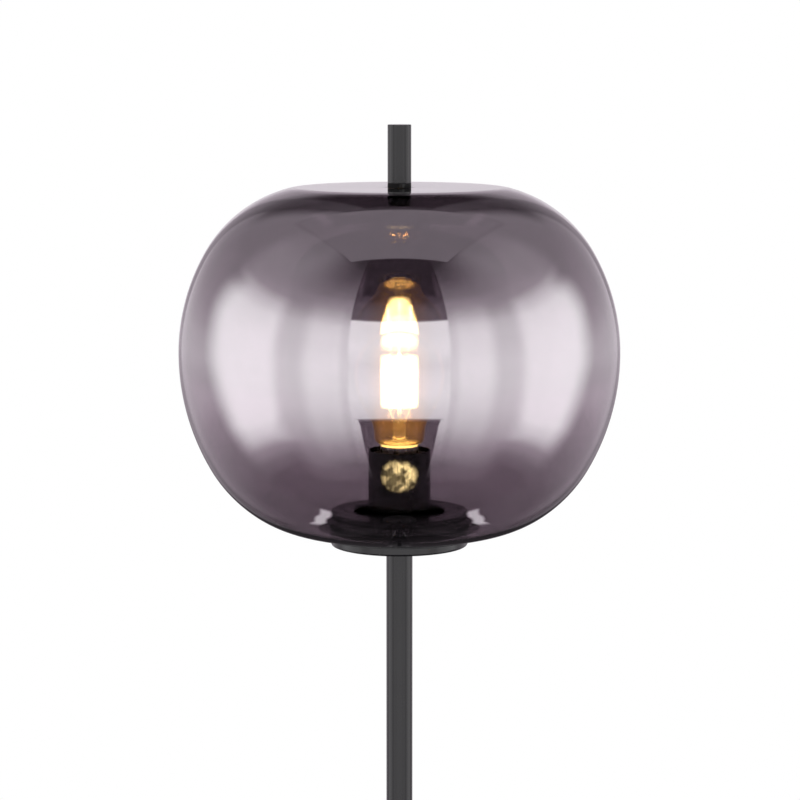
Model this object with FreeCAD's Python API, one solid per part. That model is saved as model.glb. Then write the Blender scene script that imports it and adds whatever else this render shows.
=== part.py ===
"""Globe floor lamp: every separate piece as its own solid.

Millimetres, +Z up. The origin is the centre of the base's underside, on the floor.
The side that faces the viewer is -Y, and the mains lead enters at the back, +Y.
"""
import FreeCAD, Part
import math
import os

# ---------------------------------------------------------------- driving dimensions
TOTAL_HEIGHT = 1550.0

# Glass globe. An outline is a chain of tangent arcs that starts at the widest level: each arc
# is its radius and the angle of the surface's normal above the horizontal where it ends.
GLOBE_RADIUS = 150.0
GLASS_WALL = 2.4
UPPER_ARCS = ((138.0, 30.0), (91.0, 75.0), (35.0, 90.0), (3200.0, 90.93), (-200.0, 90.0))
LOWER_ARCS = ((155.9, -30.0), (95.8, -55.0), (81.8, -90.0))
MOUTH_RADIUS = 47.9
STEM_HOLE_RADIUS = 3.4

# Rod on top of the globe, and what fastens it.
STEM_RADIUS = 8.0
STEM_LENGTH = 39.57
STEM_FOOT_HEIGHT = 3.0
SEAL_THICKNESS = 1.0
STEM_WASHER_THICKNESS = 3.2
STEM_SCREW_RADIUS = 3.0
STEM_SCREW_GRIP = 12.0
STEM_SCREW_HEAD_RADIUS = 7.8
STEM_SCREW_HEAD_HEIGHT = 4.0
STEM_SCREW_DOME = 0.8
STEM_SCREW_SLOT = (3.2, 0.6, 1.6)
STEM_BORE_SPARE = 1.0

# Shade carrier.
SHEET = 1.2
REST_GAP = 0.1
GASKET_THICKNESS = 1.0
GASKET_RADII = (48.4, 54.0)
FLANGE_RADIUS = 56.0
FLANGE_THICKNESS = 1.0
DISH_RADIUS = 46.9
DISH_DEPTH = 8.0
DISH_ROUND = 1.6
COLLAR_RADIUS = 47.2
COLLAR_HEIGHT = 14.3
COLLAR_LIP_HEIGHT = 2.2
COLLAR_GROOVE_WIDTH = 1.6
COLLAR_GROOVE_DEPTH = 2.6
COLLAR_WELL_RADIUS = 31.0
COLLAR_WELL_DEPTH = 8.3

# Hollow threaded tube that joins base, pole, carrier and lampholder.
NIPPLE_RADIUS = 4.95
NIPPLE_BORE = 4.0
NIPPLE_HOLE = 5.0
NIPPLE_GRIP = 14.0
NUT_FLATS = 14.0
NUT_HEIGHT = 3.0
NUT_CHAMFER = 0.9
WASHER_RADIUS = 9.0
WASHER_THICKNESS = 1.0
WASHER_TEETH = 12
WASHER_NOTCH = (1.8, 1.2)

# Lampholder.
SLEEVE_RADIUS = 21.25
SLEEVE_WALL = 0.8
SLEEVE_LENGTH = 51.7
HOLDER_RADIUS = 19.2
HOLDER_BASE_HEIGHT = 14.0
HOLDER_HUB_RADIUS = 8.5
HOLDER_HUB_HEIGHT = 8.0
HOLDER_WALL = 2.3
HOLDER_BORE = 14.0
HOLDER_FLOOR = 2.5
HOLDER_ROUND = 3.0
HOLDER_MOUTH_CHAMFER = 1.6
HOLDER_LIFT = 0.4
CORE_BELOW_SLEEVE = 2.5
CORE_BELOW_TIP = 1.8
GRUB_RADIUS = 1.5
GRUB_DROP = 3.0
GRUB_PLAY = 0.02
GRUB_SUNK = 0.2
GRUB_SLOT = (0.6, 0.8)
TERMINAL_SIZE = (5.0, 6.0, 8.0)
TERMINAL_OFFSET = 10.5
TERMINAL_DROP = 4.0
CONTACT_STRIP = 0.6
CONTACT_HALF_WIDTH = 2.0
CONTACT_DOME = (2.0, 1.2, 0.5)
CONTACT_GAP = 0.6
CENTRE_RISER_OFFSET = 1.5
SIDE_RISER_OFFSET = 1.9
CENTRE_LEAF_END = 3.0
TERMINAL_SCREW_RADIUS = 1.4
TERMINAL_SCREW_GRIP = 5.0
TERMINAL_HOLE_DEPTH = 5.5
TERMINAL_HEAD_RADIUS = 2.5
TERMINAL_HEAD_HEIGHT = 1.8
TERMINAL_SLOT = (0.7, 0.7)

# Screw cap of the bulb and its thread in the holder.
THREAD_PITCH = 3.629
THREAD_RADIUS = 12.68
THREAD_DEPTH = 0.53
THREAD_PLAY = 0.25
THREAD_SHEET = 0.45
SHELL_LENGTH = 18.2
SHELL_BELOW_THREAD = 0.4
CAP_LENGTH = 27.0
CAP_SKIRT_RADIUS = 13.2
CAP_SKIRT_HEIGHT = 6.2
CAP_BORE = 11.6
CAP_THREAD_START = 5.2
CAP_ABOVE_SLEEVE = 2.9
CAP_SHEET = 0.5
CAP_STEP = 0.6
TIP_RADIUS = 5.0
TIP_HEIGHT = 1.0
TIP_GAP = 0.1
INSULATOR_SPIGOT = 1.5
INSULATOR_FOOT = 1.5
INSULATOR_PLAY = 0.2
INSULATOR_SHOULDER = 0.4
BOARD_THICKNESS = 1.2
CAPACITOR_RADIUS = 3.0
CAPACITOR_HEIGHT = 4.8
CAPACITOR_OFFSET = 3.5
CHIP_LOW = (2.0, -3.0)
CHIP_HIGH = (6.0, 3.0)
CHIP_HEIGHT = 1.8

# Bulb envelope: arcs as on the globe, from the widest level down and up.
BULB_LENGTH = 106.0
BULB_RADIUS = 30.0
BULB_WALL = 0.8
BULB_LOWER_ARCS = ((46.0, -34.0), (-30.0, 0.0), (5.6, -82.0))
BULB_NECK_LENGTH = 5.8
MOUNT_FLARE_PLAY = 0.1
MOUNT_FLARE_HEIGHT = 1.0
MOUNT_WAIST_HEIGHT = 8.0
MOUNT_WAIST_ROUND = 12.0
MOUNT_SHOULDER = 3.0
MOUNT_RADIUS = 4.2
MOUNT_HEIGHT = 24.0
MOUNT_TIP_RADIUS = 1.2
MOUNT_ABOVE_FILAMENTS = 2.0
FILAMENT_COUNT = 6
FILAMENT_RADIUS = 1.0
FILAMENT_FOOT = (9.5, -22.0)
FILAMENT_HEAD = (7.0, 12.5)
WIRE_RADIUS = 0.3
WIRE_FOOT_SUNK = 0.6
WIRE_HEAD_SUNK = 0.4
WIRE_FOOT_DROP = 4.0
WIRE_HEAD_RISE = 1.0

# Pole.
POLE_RADIUS = 9.0
POLE_WALL = 1.5
POLE_SECTIONS = 3
BUSH_LENGTH = 15.0
BUSH_PLAY = 0.02

# Base.
BASE_RADIUS = 125.0
BASE_HEIGHT = 25.0
BASE_EDGE = 5.0
SKIRT_GAP = 0.8
PAD_RADIUS = 118.0
PAD_THICKNESS = 2.0
WEIGHT_RADIUS = 122.0
NUT_RECESS_RADIUS = 15.0
NUT_RECESS_TOP = 17.7
RELIEF_RADII = (32.0, 100.0)
RELIEF_DEPTH = 12.0
NIPPLE_BELOW_NUT = 0.5

# Lead and gland.
LEAD_RADIUS = 2.75
LEAD_HEIGHT = 6.5
LEAD_BEND = 10.5
LEAD_CHANNEL_WIDTH = 7.5
LEAD_CHANNEL_PLAY = 1.5
LEAD_BELOW_HUB = 2.5
LEAD_INSIDE_NOSE = 1.0
CORE_ABOVE_TERMINAL = 2.0
CORE_RADIUS = 1.15
CORE_SPREAD = 1.35
CORE_BEND = 2.3
GLAND_BODY_RADIUS = 4.4
GLAND_FLANGE_RADIUS = 5.4
GLAND_FLANGE_THICKNESS = 2.5
GLAND_NOSE_RADIUS = 3.9
GLAND_NOSE_LENGTH = 7.0
GLAND_INSIDE = 6.0
GLAND_NUT_FLATS = 11.0
GLAND_NOSE_FLARE = 0.5
GLAND_POCKET = (8.0, 10.0)
COVER_SAGITTA = 0.4
GLAND_PLAY = 0.1

# Small clearances between pieces that are only assembled, how far a cutting tool runs past
# the surface that it cuts, and edge breaks.
PLAY = 0.05
PAST = 1.0
FINE_EDGE = 0.3
EDGE = 0.4
SOFT_EDGE = 0.8
FILLET = 1.2
WIDE_FILLET = 2.0


# ---------------------------------------------------------------- outlines and solids
def at(radius, height):
    """Point of a turned outline, in the plane of X and Z."""
    return FreeCAD.Vector(radius, 0, height)


def chain_end(start, normal, arcs, inset=0.0):
    """Where a chain of tangent arcs ends, offset inward by inset."""
    point = at(*start)
    for radius, end in arcs:
        point = point + direction(end) * radius - direction(normal) * radius
        normal = end
    return point - direction(normal) * inset


def direction(angle):
    """Unit normal at an angle above the horizontal, in degrees."""
    return at(math.cos(math.radians(angle)), math.sin(math.radians(angle)))


def chain(start, normal, arcs, inset=0.0):
    """Edges of a chain of tangent arcs, offset inward by inset."""
    edges = []
    point = at(*start)
    for radius, end in arcs:
        centre = point - direction(normal) * radius
        offset = radius - inset
        first = centre + direction(normal) * offset
        middle = centre + direction((normal + end) / 2) * offset
        last = centre + direction(end) * offset
        edges.append(Part.Arc(first, middle, last).toShape())
        point = centre + direction(end) * radius
        normal = end
    return edges


def line(start, end):
    return Part.LineSegment(start, end).toShape()


def polyline(points):
    return [line(a, b) for a, b in zip(points, points[1:])]


def revolve(edges):
    """Solid turned about Z from the edges of a closed outline."""
    wire = Part.Wire(Part.__sortEdges__(edges))
    turned = Part.Face(wire).revolve(FreeCAD.Vector(0, 0, 0), FreeCAD.Vector(0, 0, 1), 360)
    return Part.Solid(turned.Shells[0])


def rounded_edges(corners):
    """Edges of a closed outline whose corners are (radius, height, rounding)."""
    count = len(corners)
    points = [at(radius, height) for radius, height, rounding in corners]
    starts = []
    ends = []
    edges = []
    for index, point in enumerate(points):
        rounding = corners[index][2]
        if rounding == 0:
            starts.append(point)
            ends.append(point)
            continue
        back = (points[index - 1] - point).normalize()
        onward = (points[(index + 1) % count] - point).normalize()
        half = back.getAngle(onward) / 2
        reach = rounding / math.tan(half)
        centre = point + (back + onward).normalize() * (rounding / math.sin(half))
        middle = centre + (point - centre).normalize() * rounding
        starts.append(point + back * reach)
        ends.append(point + onward * reach)
        edges.append(Part.Arc(starts[-1], middle, ends[-1]).toShape())
    for index in range(count):
        edges.append(line(ends[index], starts[(index + 1) % count]))
    return edges


def turned(corners):
    """Turned solid whose outline corners are (radius, height, rounding)."""
    return revolve(rounded_edges(corners))


def rod(radius, bottom, top, x=0.0, y=0.0):
    return Part.makeCylinder(radius, top - bottom, FreeCAD.Vector(x, y, bottom))


def ring(inner, outer, bottom, top, edge=0.0):
    """Washer or tube, with its outer edges broken by edge."""
    return turned([(inner, bottom, 0), (outer, bottom, edge), (outer, top, edge), (inner, top, 0)])


def block(low, high):
    size = [b - a for a, b in zip(low, high)]
    return Part.makeBox(*size, FreeCAD.Vector(*low))


def hex_nut(flats, bore, bottom, height):
    """Hexagon nut about Z with chamfered corners."""
    corner = flats / math.sqrt(3)
    points = [FreeCAD.Vector(corner, 0, 0)]
    for step in range(1, 7):
        angle = math.radians(60 * step)
        points.append(FreeCAD.Vector(corner * math.cos(angle), corner * math.sin(angle), 0))
    body = Part.Face(Part.makePolygon(points)).extrude(FreeCAD.Vector(0, 0, height))
    rounding = (corner - flats / 2) * NUT_CHAMFER
    barrel = turned([(0, 0, 0), (corner, 0, rounding), (corner, height, rounding), (0, height, 0)])
    nut = body.common(barrel).cut(rod(bore, -PAST, height + PAST))
    nut.translate(FreeCAD.Vector(0, 0, bottom))
    return nut


def helix_solid(radius, bottom, top):
    """Bar with a rounded screw thread: a circle carried off centre along a helix.

    Every bar starts from the same phase at the thread's datum, so bars fit inside each other.
    """
    turns_below = math.ceil((THREAD_DATUM - bottom) / THREAD_PITCH) + 1
    start = THREAD_DATUM - turns_below * THREAD_PITCH
    helix = Part.makeHelix(THREAD_PITCH, top + THREAD_PITCH - start, THREAD_DEPTH)
    helix.translate(FreeCAD.Vector(0, 0, start))
    centre = FreeCAD.Vector(THREAD_DEPTH, 0, start)
    circle = Part.Wire([Part.Circle(centre, FreeCAD.Vector(0, 0, 1), radius).toShape()])
    sweep = Part.BRepOffsetAPI.MakePipeShell(Part.Wire(helix.Edges))
    sweep.setTrihedronMode(FreeCAD.Vector(0, 0, start), FreeCAD.Vector(0, 0, 1))
    sweep.add(circle)
    sweep.build()
    sweep.makeSolid()
    return sweep.shape().common(rod(radius * 2, bottom, top))


def tube_path(points, bends, radius):
    """Round tube along straight runs joined by tangent arcs."""
    points = [FreeCAD.Vector(*point) for point in points]
    edges = []
    last = points[0]
    for index, bend in enumerate(bends, start=1):
        corner = points[index]
        back = (points[index - 1] - corner).normalize()
        onward = (points[index + 1] - corner).normalize()
        half = back.getAngle(onward) / 2
        reach = bend / math.tan(half)
        centre = corner + (back + onward).normalize() * (bend / math.sin(half))
        middle = centre + (corner - centre).normalize() * bend
        arc_start = corner + back * reach
        arc_end = corner + onward * reach
        edges.append(line(last, arc_start))
        edges.append(Part.Arc(arc_start, middle, arc_end).toShape())
        last = arc_end
    edges.append(line(last, points[-1]))
    path = Part.Wire(edges)
    heading = (points[1] - points[0]).normalize()
    profile = Part.Wire([Part.Circle(points[0], heading, radius).toShape()])
    return path.makePipeShell([profile], True, False)


def straight_wire(start, end, radius):
    start = FreeCAD.Vector(*start)
    along = FreeCAD.Vector(*end) - start
    return Part.makeCylinder(radius, along.Length, start, along)


# ---------------------------------------------------------------- heights, worked out
GLOBE_TOP = chain_end((GLOBE_RADIUS, 0), 0, UPPER_ARCS).z
GLOBE_BOTTOM = chain_end((GLOBE_RADIUS, 0), 0, LOWER_ARCS).z
EQUATOR = TOTAL_HEIGHT - STEM_LENGTH - STEM_FOOT_HEIGHT - GLOBE_TOP
STEM_BOTTOM = TOTAL_HEIGHT - STEM_LENGTH
GLASS_TOP = EQUATOR + GLOBE_TOP
GLASS_SEAT = EQUATOR + GLOBE_BOTTOM

GASKET_TOP = GLASS_SEAT - REST_GAP
FLANGE_TOP = GASKET_TOP - GASKET_THICKNESS
DISH_BOTTOM = FLANGE_TOP - DISH_DEPTH
COLLAR_TOP = FLANGE_TOP + COLLAR_HEIGHT
WELL_FLOOR = COLLAR_TOP - COLLAR_WELL_DEPTH
SLEEVE_TOP = WELL_FLOOR + SLEEVE_LENGTH
CLAMP_NUT_BOTTOM = WELL_FLOOR + SLEEVE_WALL + WASHER_THICKNESS
HOLDER_BOTTOM = CLAMP_NUT_BOTTOM + NUT_HEIGHT + HOLDER_LIFT
HUB_TOP = HOLDER_BOTTOM + HOLDER_HUB_HEIGHT
GRUB_LEVEL = HUB_TOP - GRUB_DROP
CORE_BOTTOM = HOLDER_BOTTOM + HOLDER_BASE_HEIGHT
CORE_TOP = SLEEVE_TOP - CORE_BELOW_SLEEVE

CAP_TOP = SLEEVE_TOP + CAP_ABOVE_SLEEVE
TIP_BOTTOM = CAP_TOP - CAP_LENGTH
CAP_THREAD_BOTTOM = TIP_BOTTOM + CAP_THREAD_START
CAP_THREAD_TOP = CAP_TOP - CAP_SKIRT_HEIGHT
THREAD_DATUM = CAP_THREAD_TOP
SHELL_TOP = CAP_THREAD_TOP - SHELL_BELOW_THREAD
SHELL_BOTTOM = SHELL_TOP - SHELL_LENGTH
CORE_FLOOR = TIP_BOTTOM - CORE_BELOW_TIP
BULB_CENTRE = TIP_BOTTOM + BULB_LENGTH - BULB_RADIUS
NECK_TOP = BULB_CENTRE + chain_end((BULB_RADIUS, 0), 0, BULB_LOWER_ARCS).z
NECK_RADIUS = chain_end((BULB_RADIUS, 0), 0, BULB_LOWER_ARCS).x
NECK_BOTTOM = NECK_TOP - BULB_NECK_LENGTH

POLE_LENGTH = (DISH_BOTTOM - BASE_HEIGHT) / POLE_SECTIONS
POLE_JOINTS = [BASE_HEIGHT + POLE_LENGTH * index for index in range(POLE_SECTIONS + 1)]
BASE_NIPPLE_BOTTOM = NUT_RECESS_TOP - WASHER_THICKNESS - NUT_HEIGHT - NIPPLE_BELOW_NUT
LEAD_TOP = HUB_TOP - LEAD_BELOW_HUB


# ---------------------------------------------------------------- base
def base_pad():
    return ring(0, PAD_RADIUS, 0, PAD_THICKNESS, EDGE)


def base_weight():
    top = BASE_HEIGHT - SHEET
    inner, outer = RELIEF_RADII
    body = turned([
        (NIPPLE_HOLE, NUT_RECESS_TOP, 0),
        (NUT_RECESS_RADIUS, NUT_RECESS_TOP, FILLET),
        (NUT_RECESS_RADIUS, PAD_THICKNESS, 0),
        (inner, PAD_THICKNESS, 0),
        (inner, PAD_THICKNESS + RELIEF_DEPTH, WIDE_FILLET),
        (outer, PAD_THICKNESS + RELIEF_DEPTH, WIDE_FILLET),
        (outer, PAD_THICKNESS, 0),
        (WEIGHT_RADIUS, PAD_THICKNESS, FILLET),
        (WEIGHT_RADIUS, top, BASE_EDGE),
        (NIPPLE_HOLE, top, 0),
    ])
    half = LEAD_CHANNEL_WIDTH / 2
    channel_top = LEAD_HEIGHT + LEAD_RADIUS + LEAD_CHANNEL_PLAY
    channel = block((-half, 0, 0), (half, BASE_RADIUS, channel_top))
    pocket_top = LEAD_HEIGHT + GLAND_NUT_FLATS / 2 + LEAD_CHANNEL_PLAY
    side, depth = GLAND_POCKET
    pocket = block((-side, WEIGHT_RADIUS - depth, 0), (side, BASE_RADIUS, pocket_top))
    return body.cut(channel).cut(pocket)


def base_cover():
    inner = BASE_RADIUS - SHEET
    shell = turned([
        (NIPPLE_HOLE, BASE_HEIGHT - SHEET, 0),
        (inner, BASE_HEIGHT - SHEET, BASE_EDGE - SHEET),
        (inner, SKIRT_GAP, 0),
        (BASE_RADIUS, SKIRT_GAP, EDGE),
        (BASE_RADIUS, BASE_HEIGHT, BASE_EDGE),
        (NIPPLE_HOLE, BASE_HEIGHT, 0),
    ])
    return shell.cut(along_back(rod(GLAND_BODY_RADIUS + GLAND_PLAY, -BASE_EDGE, BASE_EDGE)))


def along_back(shape):
    """Lay a piece made about Z along +Y at the gland, its zero on the cover's wall."""
    moved = shape.copy()
    moved.rotate(FreeCAD.Vector(0, 0, 0), FreeCAD.Vector(1, 0, 0), -90)
    moved.translate(FreeCAD.Vector(0, BASE_RADIUS, LEAD_HEIGHT))
    return moved


def cable_gland():
    bore = LEAD_RADIUS + GLAND_PLAY
    nose_end = GLAND_FLANGE_THICKNESS + GLAND_NOSE_LENGTH
    return along_back(turned([
        (bore, -GLAND_INSIDE, 0),
        (GLAND_BODY_RADIUS, -GLAND_INSIDE, EDGE),
        (GLAND_BODY_RADIUS, 0, 0),
        (GLAND_FLANGE_RADIUS, 0, 0),
        (GLAND_FLANGE_RADIUS, GLAND_FLANGE_THICKNESS, SOFT_EDGE),
        (GLAND_NOSE_RADIUS + GLAND_NOSE_FLARE, GLAND_FLANGE_THICKNESS, 0),
        (GLAND_NOSE_RADIUS, nose_end, SOFT_EDGE),
        (bore, nose_end, 0),
    ]))


def gland_nut():
    bottom = -SHEET - COVER_SAGITTA - NUT_HEIGHT
    return along_back(hex_nut(GLAND_NUT_FLATS, GLAND_BODY_RADIUS + PLAY, bottom, NUT_HEIGHT))


def hollow_nipple(bottom, top):
    return turned([
        (NIPPLE_BORE, bottom, 0),
        (NIPPLE_RADIUS, bottom, EDGE),
        (NIPPLE_RADIUS, top, EDGE),
        (NIPPLE_BORE, top, 0),
    ])


def base_nipple():
    return hollow_nipple(BASE_NIPPLE_BOTTOM, BASE_HEIGHT + NIPPLE_GRIP)


def base_washer():
    return ring(NIPPLE_HOLE, WASHER_RADIUS, NUT_RECESS_TOP - WASHER_THICKNESS, NUT_RECESS_TOP)


def base_nut():
    bottom = NUT_RECESS_TOP - WASHER_THICKNESS - NUT_HEIGHT
    return hex_nut(NUT_FLATS, NIPPLE_HOLE, bottom, NUT_HEIGHT)


# ---------------------------------------------------------------- pole
def pole_tube(index):
    bottom = POLE_JOINTS[index]
    top = POLE_JOINTS[index + 1]
    inner = POLE_RADIUS - POLE_WALL
    return turned([
        (inner, bottom, 0),
        (POLE_RADIUS, bottom, EDGE),
        (POLE_RADIUS, top, EDGE),
        (inner, top, 0),
    ])


def pole_bushes():
    outer = POLE_RADIUS - POLE_WALL - BUSH_PLAY
    bushes = []
    for index in range(POLE_SECTIONS):
        bottom = POLE_JOINTS[index]
        top = POLE_JOINTS[index + 1]
        bushes.append(ring(NIPPLE_HOLE, outer, bottom, bottom + BUSH_LENGTH))
        bushes.append(ring(NIPPLE_HOLE, outer, top - BUSH_LENGTH, top))
    return bushes


def pole_joiners():
    return [hollow_nipple(z - NIPPLE_GRIP, z + NIPPLE_GRIP) for z in POLE_JOINTS[1:-1]]


# ---------------------------------------------------------------- shade carrier
def top_nipple():
    return hollow_nipple(DISH_BOTTOM - NIPPLE_GRIP, HUB_TOP)


def shade_dish():
    wall = DISH_RADIUS - SHEET
    flange_bottom = FLANGE_TOP - FLANGE_THICKNESS
    return turned([
        (NIPPLE_HOLE, DISH_BOTTOM, 0),
        (DISH_RADIUS, DISH_BOTTOM, DISH_ROUND),
        (DISH_RADIUS, flange_bottom, EDGE),
        (FLANGE_RADIUS, flange_bottom, FINE_EDGE),
        (FLANGE_RADIUS, FLANGE_TOP, FINE_EDGE),
        (wall, FLANGE_TOP, 0),
        (wall, DISH_BOTTOM + SHEET, SOFT_EDGE),
        (NIPPLE_HOLE, DISH_BOTTOM + SHEET, 0),
    ])


def shade_collar():
    lip_bottom = COLLAR_TOP - COLLAR_LIP_HEIGHT
    groove_bottom = lip_bottom - COLLAR_GROOVE_WIDTH
    groove = COLLAR_RADIUS - COLLAR_GROOVE_DEPTH
    inner = groove - SHEET
    well_outside = COLLAR_WELL_RADIUS + SHEET
    return turned([
        (COLLAR_RADIUS, FLANGE_TOP, FINE_EDGE),
        (COLLAR_RADIUS, groove_bottom, EDGE),
        (groove, groove_bottom, FINE_EDGE),
        (groove, lip_bottom, FINE_EDGE),
        (COLLAR_RADIUS, lip_bottom, EDGE),
        (COLLAR_RADIUS, COLLAR_TOP, SOFT_EDGE),
        (COLLAR_WELL_RADIUS, COLLAR_TOP, FILLET),
        (COLLAR_WELL_RADIUS, WELL_FLOOR, SOFT_EDGE),
        (NIPPLE_HOLE, WELL_FLOOR, 0),
        (NIPPLE_HOLE, WELL_FLOOR - SHEET, 0),
        (well_outside, WELL_FLOOR - SHEET, FILLET),
        (well_outside, COLLAR_TOP - SHEET, 0),
        (inner, COLLAR_TOP - SHEET, 0),
        (inner, FLANGE_TOP, 0),
    ])


def shade_gasket():
    return ring(*GASKET_RADII, FLANGE_TOP, GASKET_TOP, FINE_EDGE)


def toothed_washer():
    """Lock washer: a ring whose rim is cut into teeth."""
    bottom = WELL_FLOOR + SLEEVE_WALL
    top = bottom + WASHER_THICKNESS
    washer = ring(NIPPLE_HOLE, WASHER_RADIUS, bottom, top)
    depth, width = WASHER_NOTCH
    low = (WASHER_RADIUS - depth, -width / 2, bottom - PAST)
    high = (WASHER_RADIUS + PAST, width / 2, top + PAST)
    for index in range(WASHER_TEETH):
        notch = block(low, high)
        notch.rotate(FreeCAD.Vector(0, 0, 0), FreeCAD.Vector(0, 0, 1), 360 / WASHER_TEETH * index)
        washer = washer.cut(notch)
    return washer


def nipple_nut():
    return hex_nut(NUT_FLATS, NIPPLE_HOLE, CLAMP_NUT_BOTTOM, NUT_HEIGHT)


# ---------------------------------------------------------------- lampholder
def holder_sleeve():
    inner = SLEEVE_RADIUS - SLEEVE_WALL
    return turned([
        (NIPPLE_HOLE, WELL_FLOOR, 0),
        (SLEEVE_RADIUS, WELL_FLOOR, FILLET),
        (SLEEVE_RADIUS, SLEEVE_TOP, FINE_EDGE),
        (inner, SLEEVE_TOP, FINE_EDGE),
        (inner, WELL_FLOOR + SLEEVE_WALL, EDGE),
        (NIPPLE_HOLE, WELL_FLOOR + SLEEVE_WALL, 0),
    ])


def holder_base():
    chamber = HOLDER_RADIUS - HOLDER_WALL
    floor = HOLDER_BOTTOM + HOLDER_FLOOR
    body = turned([
        (NIPPLE_HOLE, HOLDER_BOTTOM, 0),
        (HOLDER_RADIUS, HOLDER_BOTTOM, HOLDER_ROUND),
        (HOLDER_RADIUS, CORE_BOTTOM, 0),
        (chamber, CORE_BOTTOM, 0),
        (chamber, floor, FILLET),
        (HOLDER_HUB_RADIUS, floor, SOFT_EDGE),
        (HOLDER_HUB_RADIUS, HUB_TOP, EDGE),
        (NIPPLE_HOLE, HUB_TOP, 0),
    ])
    return body.cut(grub(GRUB_RADIUS + GRUB_PLAY, HOLDER_HUB_RADIUS + PAST))


def grub(radius, end):
    """Cylinder from the nipple outwards, towards the front."""
    start = FreeCAD.Vector(0, -NIPPLE_HOLE, GRUB_LEVEL)
    return Part.makeCylinder(radius, end - NIPPLE_HOLE, start, FreeCAD.Vector(0, -1, 0))


def holder_grub_screw():
    end = HOLDER_HUB_RADIUS - GRUB_SUNK
    width, depth = GRUB_SLOT
    low = (-width / 2, -end - PAST, GRUB_LEVEL - GRUB_RADIUS - PAST)
    high = (width / 2, -end + depth, GRUB_LEVEL + GRUB_RADIUS + PAST)
    slot = block(low, high)
    return grub(GRUB_RADIUS, end).cut(slot)


def holder_core():
    body = turned([
        (0, CORE_BOTTOM, 0),
        (HOLDER_RADIUS, CORE_BOTTOM, 0),
        (HOLDER_RADIUS, CORE_TOP, SOFT_EDGE),
        (HOLDER_BORE + HOLDER_MOUTH_CHAMFER, CORE_TOP, 0),
        (HOLDER_BORE, CORE_TOP - HOLDER_MOUTH_CHAMFER, 0),
        (HOLDER_BORE, CORE_FLOOR, 0),
        (0, CORE_FLOOR, 0),
    ])
    half_x = TERMINAL_SIZE[0] / 2 + PLAY
    half_y = TERMINAL_SIZE[1] / 2 + PLAY
    for side in (-1, 1):
        middle = side * TERMINAL_OFFSET
        low = (middle - half_x, -half_y, CORE_BOTTOM - PAST)
        high = (middle + half_x, half_y, CORE_FLOOR + PAST)
        body = body.cut(block(low, high))
    return body


def thread_shell():
    outside = helix_solid(THREAD_RADIUS + THREAD_PLAY + THREAD_SHEET, SHELL_BOTTOM, SHELL_TOP)
    inside = helix_solid(THREAD_RADIUS + THREAD_PLAY, SHELL_BOTTOM - PAST, SHELL_TOP + PAST)
    return outside.cut(inside)


def terminal_block(side):
    """Block of one terminal with the hole for its screw."""
    half_x = TERMINAL_SIZE[0] / 2
    half_y = TERMINAL_SIZE[1] / 2
    middle = side * TERMINAL_OFFSET
    bottom = CORE_BOTTOM - TERMINAL_DROP
    body = block((middle - half_x, -half_y, bottom), (middle + half_x, half_y, bottom + TERMINAL_SIZE[2]))
    return body.cut(rod(TERMINAL_SCREW_RADIUS + PLAY, bottom - PAST, bottom + TERMINAL_HOLE_DEPTH, middle))


def centre_contact():
    """Terminal on the left with a leaf that springs against the bulb's tip."""
    top = CORE_BOTTOM - TERMINAL_DROP + TERMINAL_SIZE[2]
    leaf_top = TIP_BOTTOM - CONTACT_GAP
    left = -TERMINAL_OFFSET - CENTRE_RISER_OFFSET
    half = CONTACT_HALF_WIDTH
    riser = block((left, -half, top), (left + CONTACT_STRIP, half, leaf_top))
    leaf = block((left, -half, leaf_top - CONTACT_STRIP), (CENTRE_LEAF_END, half, leaf_top))
    dome = Part.makeCone(*CONTACT_DOME, FreeCAD.Vector(0, 0, leaf_top))
    return terminal_block(-1).fuse([riser, leaf, dome]).removeSplitter()


def side_contact():
    """Terminal on the right with a strip up to the screw shell."""
    top = CORE_BOTTOM - TERMINAL_DROP + TERMINAL_SIZE[2]
    right = TERMINAL_OFFSET + SIDE_RISER_OFFSET
    half = CONTACT_HALF_WIDTH
    riser = block((right, -half, top), (right + CONTACT_STRIP, half, SHELL_BOTTOM))
    return terminal_block(1).fuse(riser).removeSplitter()


def terminal_screws():
    bottom = CORE_BOTTOM - TERMINAL_DROP
    underside = bottom - TERMINAL_HEAD_HEIGHT
    width, depth = TERMINAL_SLOT
    reach = TERMINAL_HEAD_RADIUS + PAST
    screws = []
    for side in (-1, 1):
        x = side * TERMINAL_OFFSET
        head = rod(TERMINAL_HEAD_RADIUS, underside, bottom, x)
        shank = rod(TERMINAL_SCREW_RADIUS, bottom, bottom + TERMINAL_SCREW_GRIP, x)
        slot = block((x - reach, -width / 2, underside - PAST), (x + reach, width / 2, underside + depth))
        screws.append(head.fuse(shank).removeSplitter().cut(slot))
    return screws


# ---------------------------------------------------------------- lead
def inner_lead():
    """Lead from the gland under the weight, up the pole and into the lampholder."""
    outside = BASE_RADIUS + GLAND_FLANGE_THICKNESS + GLAND_NOSE_LENGTH - LEAD_INSIDE_NOSE
    points = [(0, outside, LEAD_HEIGHT), (0, 0, LEAD_HEIGHT), (0, 0, LEAD_TOP)]
    return tube_path(points, [LEAD_BEND], LEAD_RADIUS)


def lead_cores():
    """The two insulated cores, from the lead's end to the terminals."""
    level = CORE_BOTTOM - TERMINAL_DROP + CORE_ABOVE_TERMINAL
    end = TERMINAL_OFFSET - TERMINAL_SIZE[0] / 2
    cores = []
    for side in (-1, 1):
        x = side * CORE_SPREAD
        points = [(x, 0, LEAD_TOP), (x, 0, level), (side * end, 0, level)]
        cores.append(tube_path(points, [CORE_BEND], CORE_RADIUS))
    return cores


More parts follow.
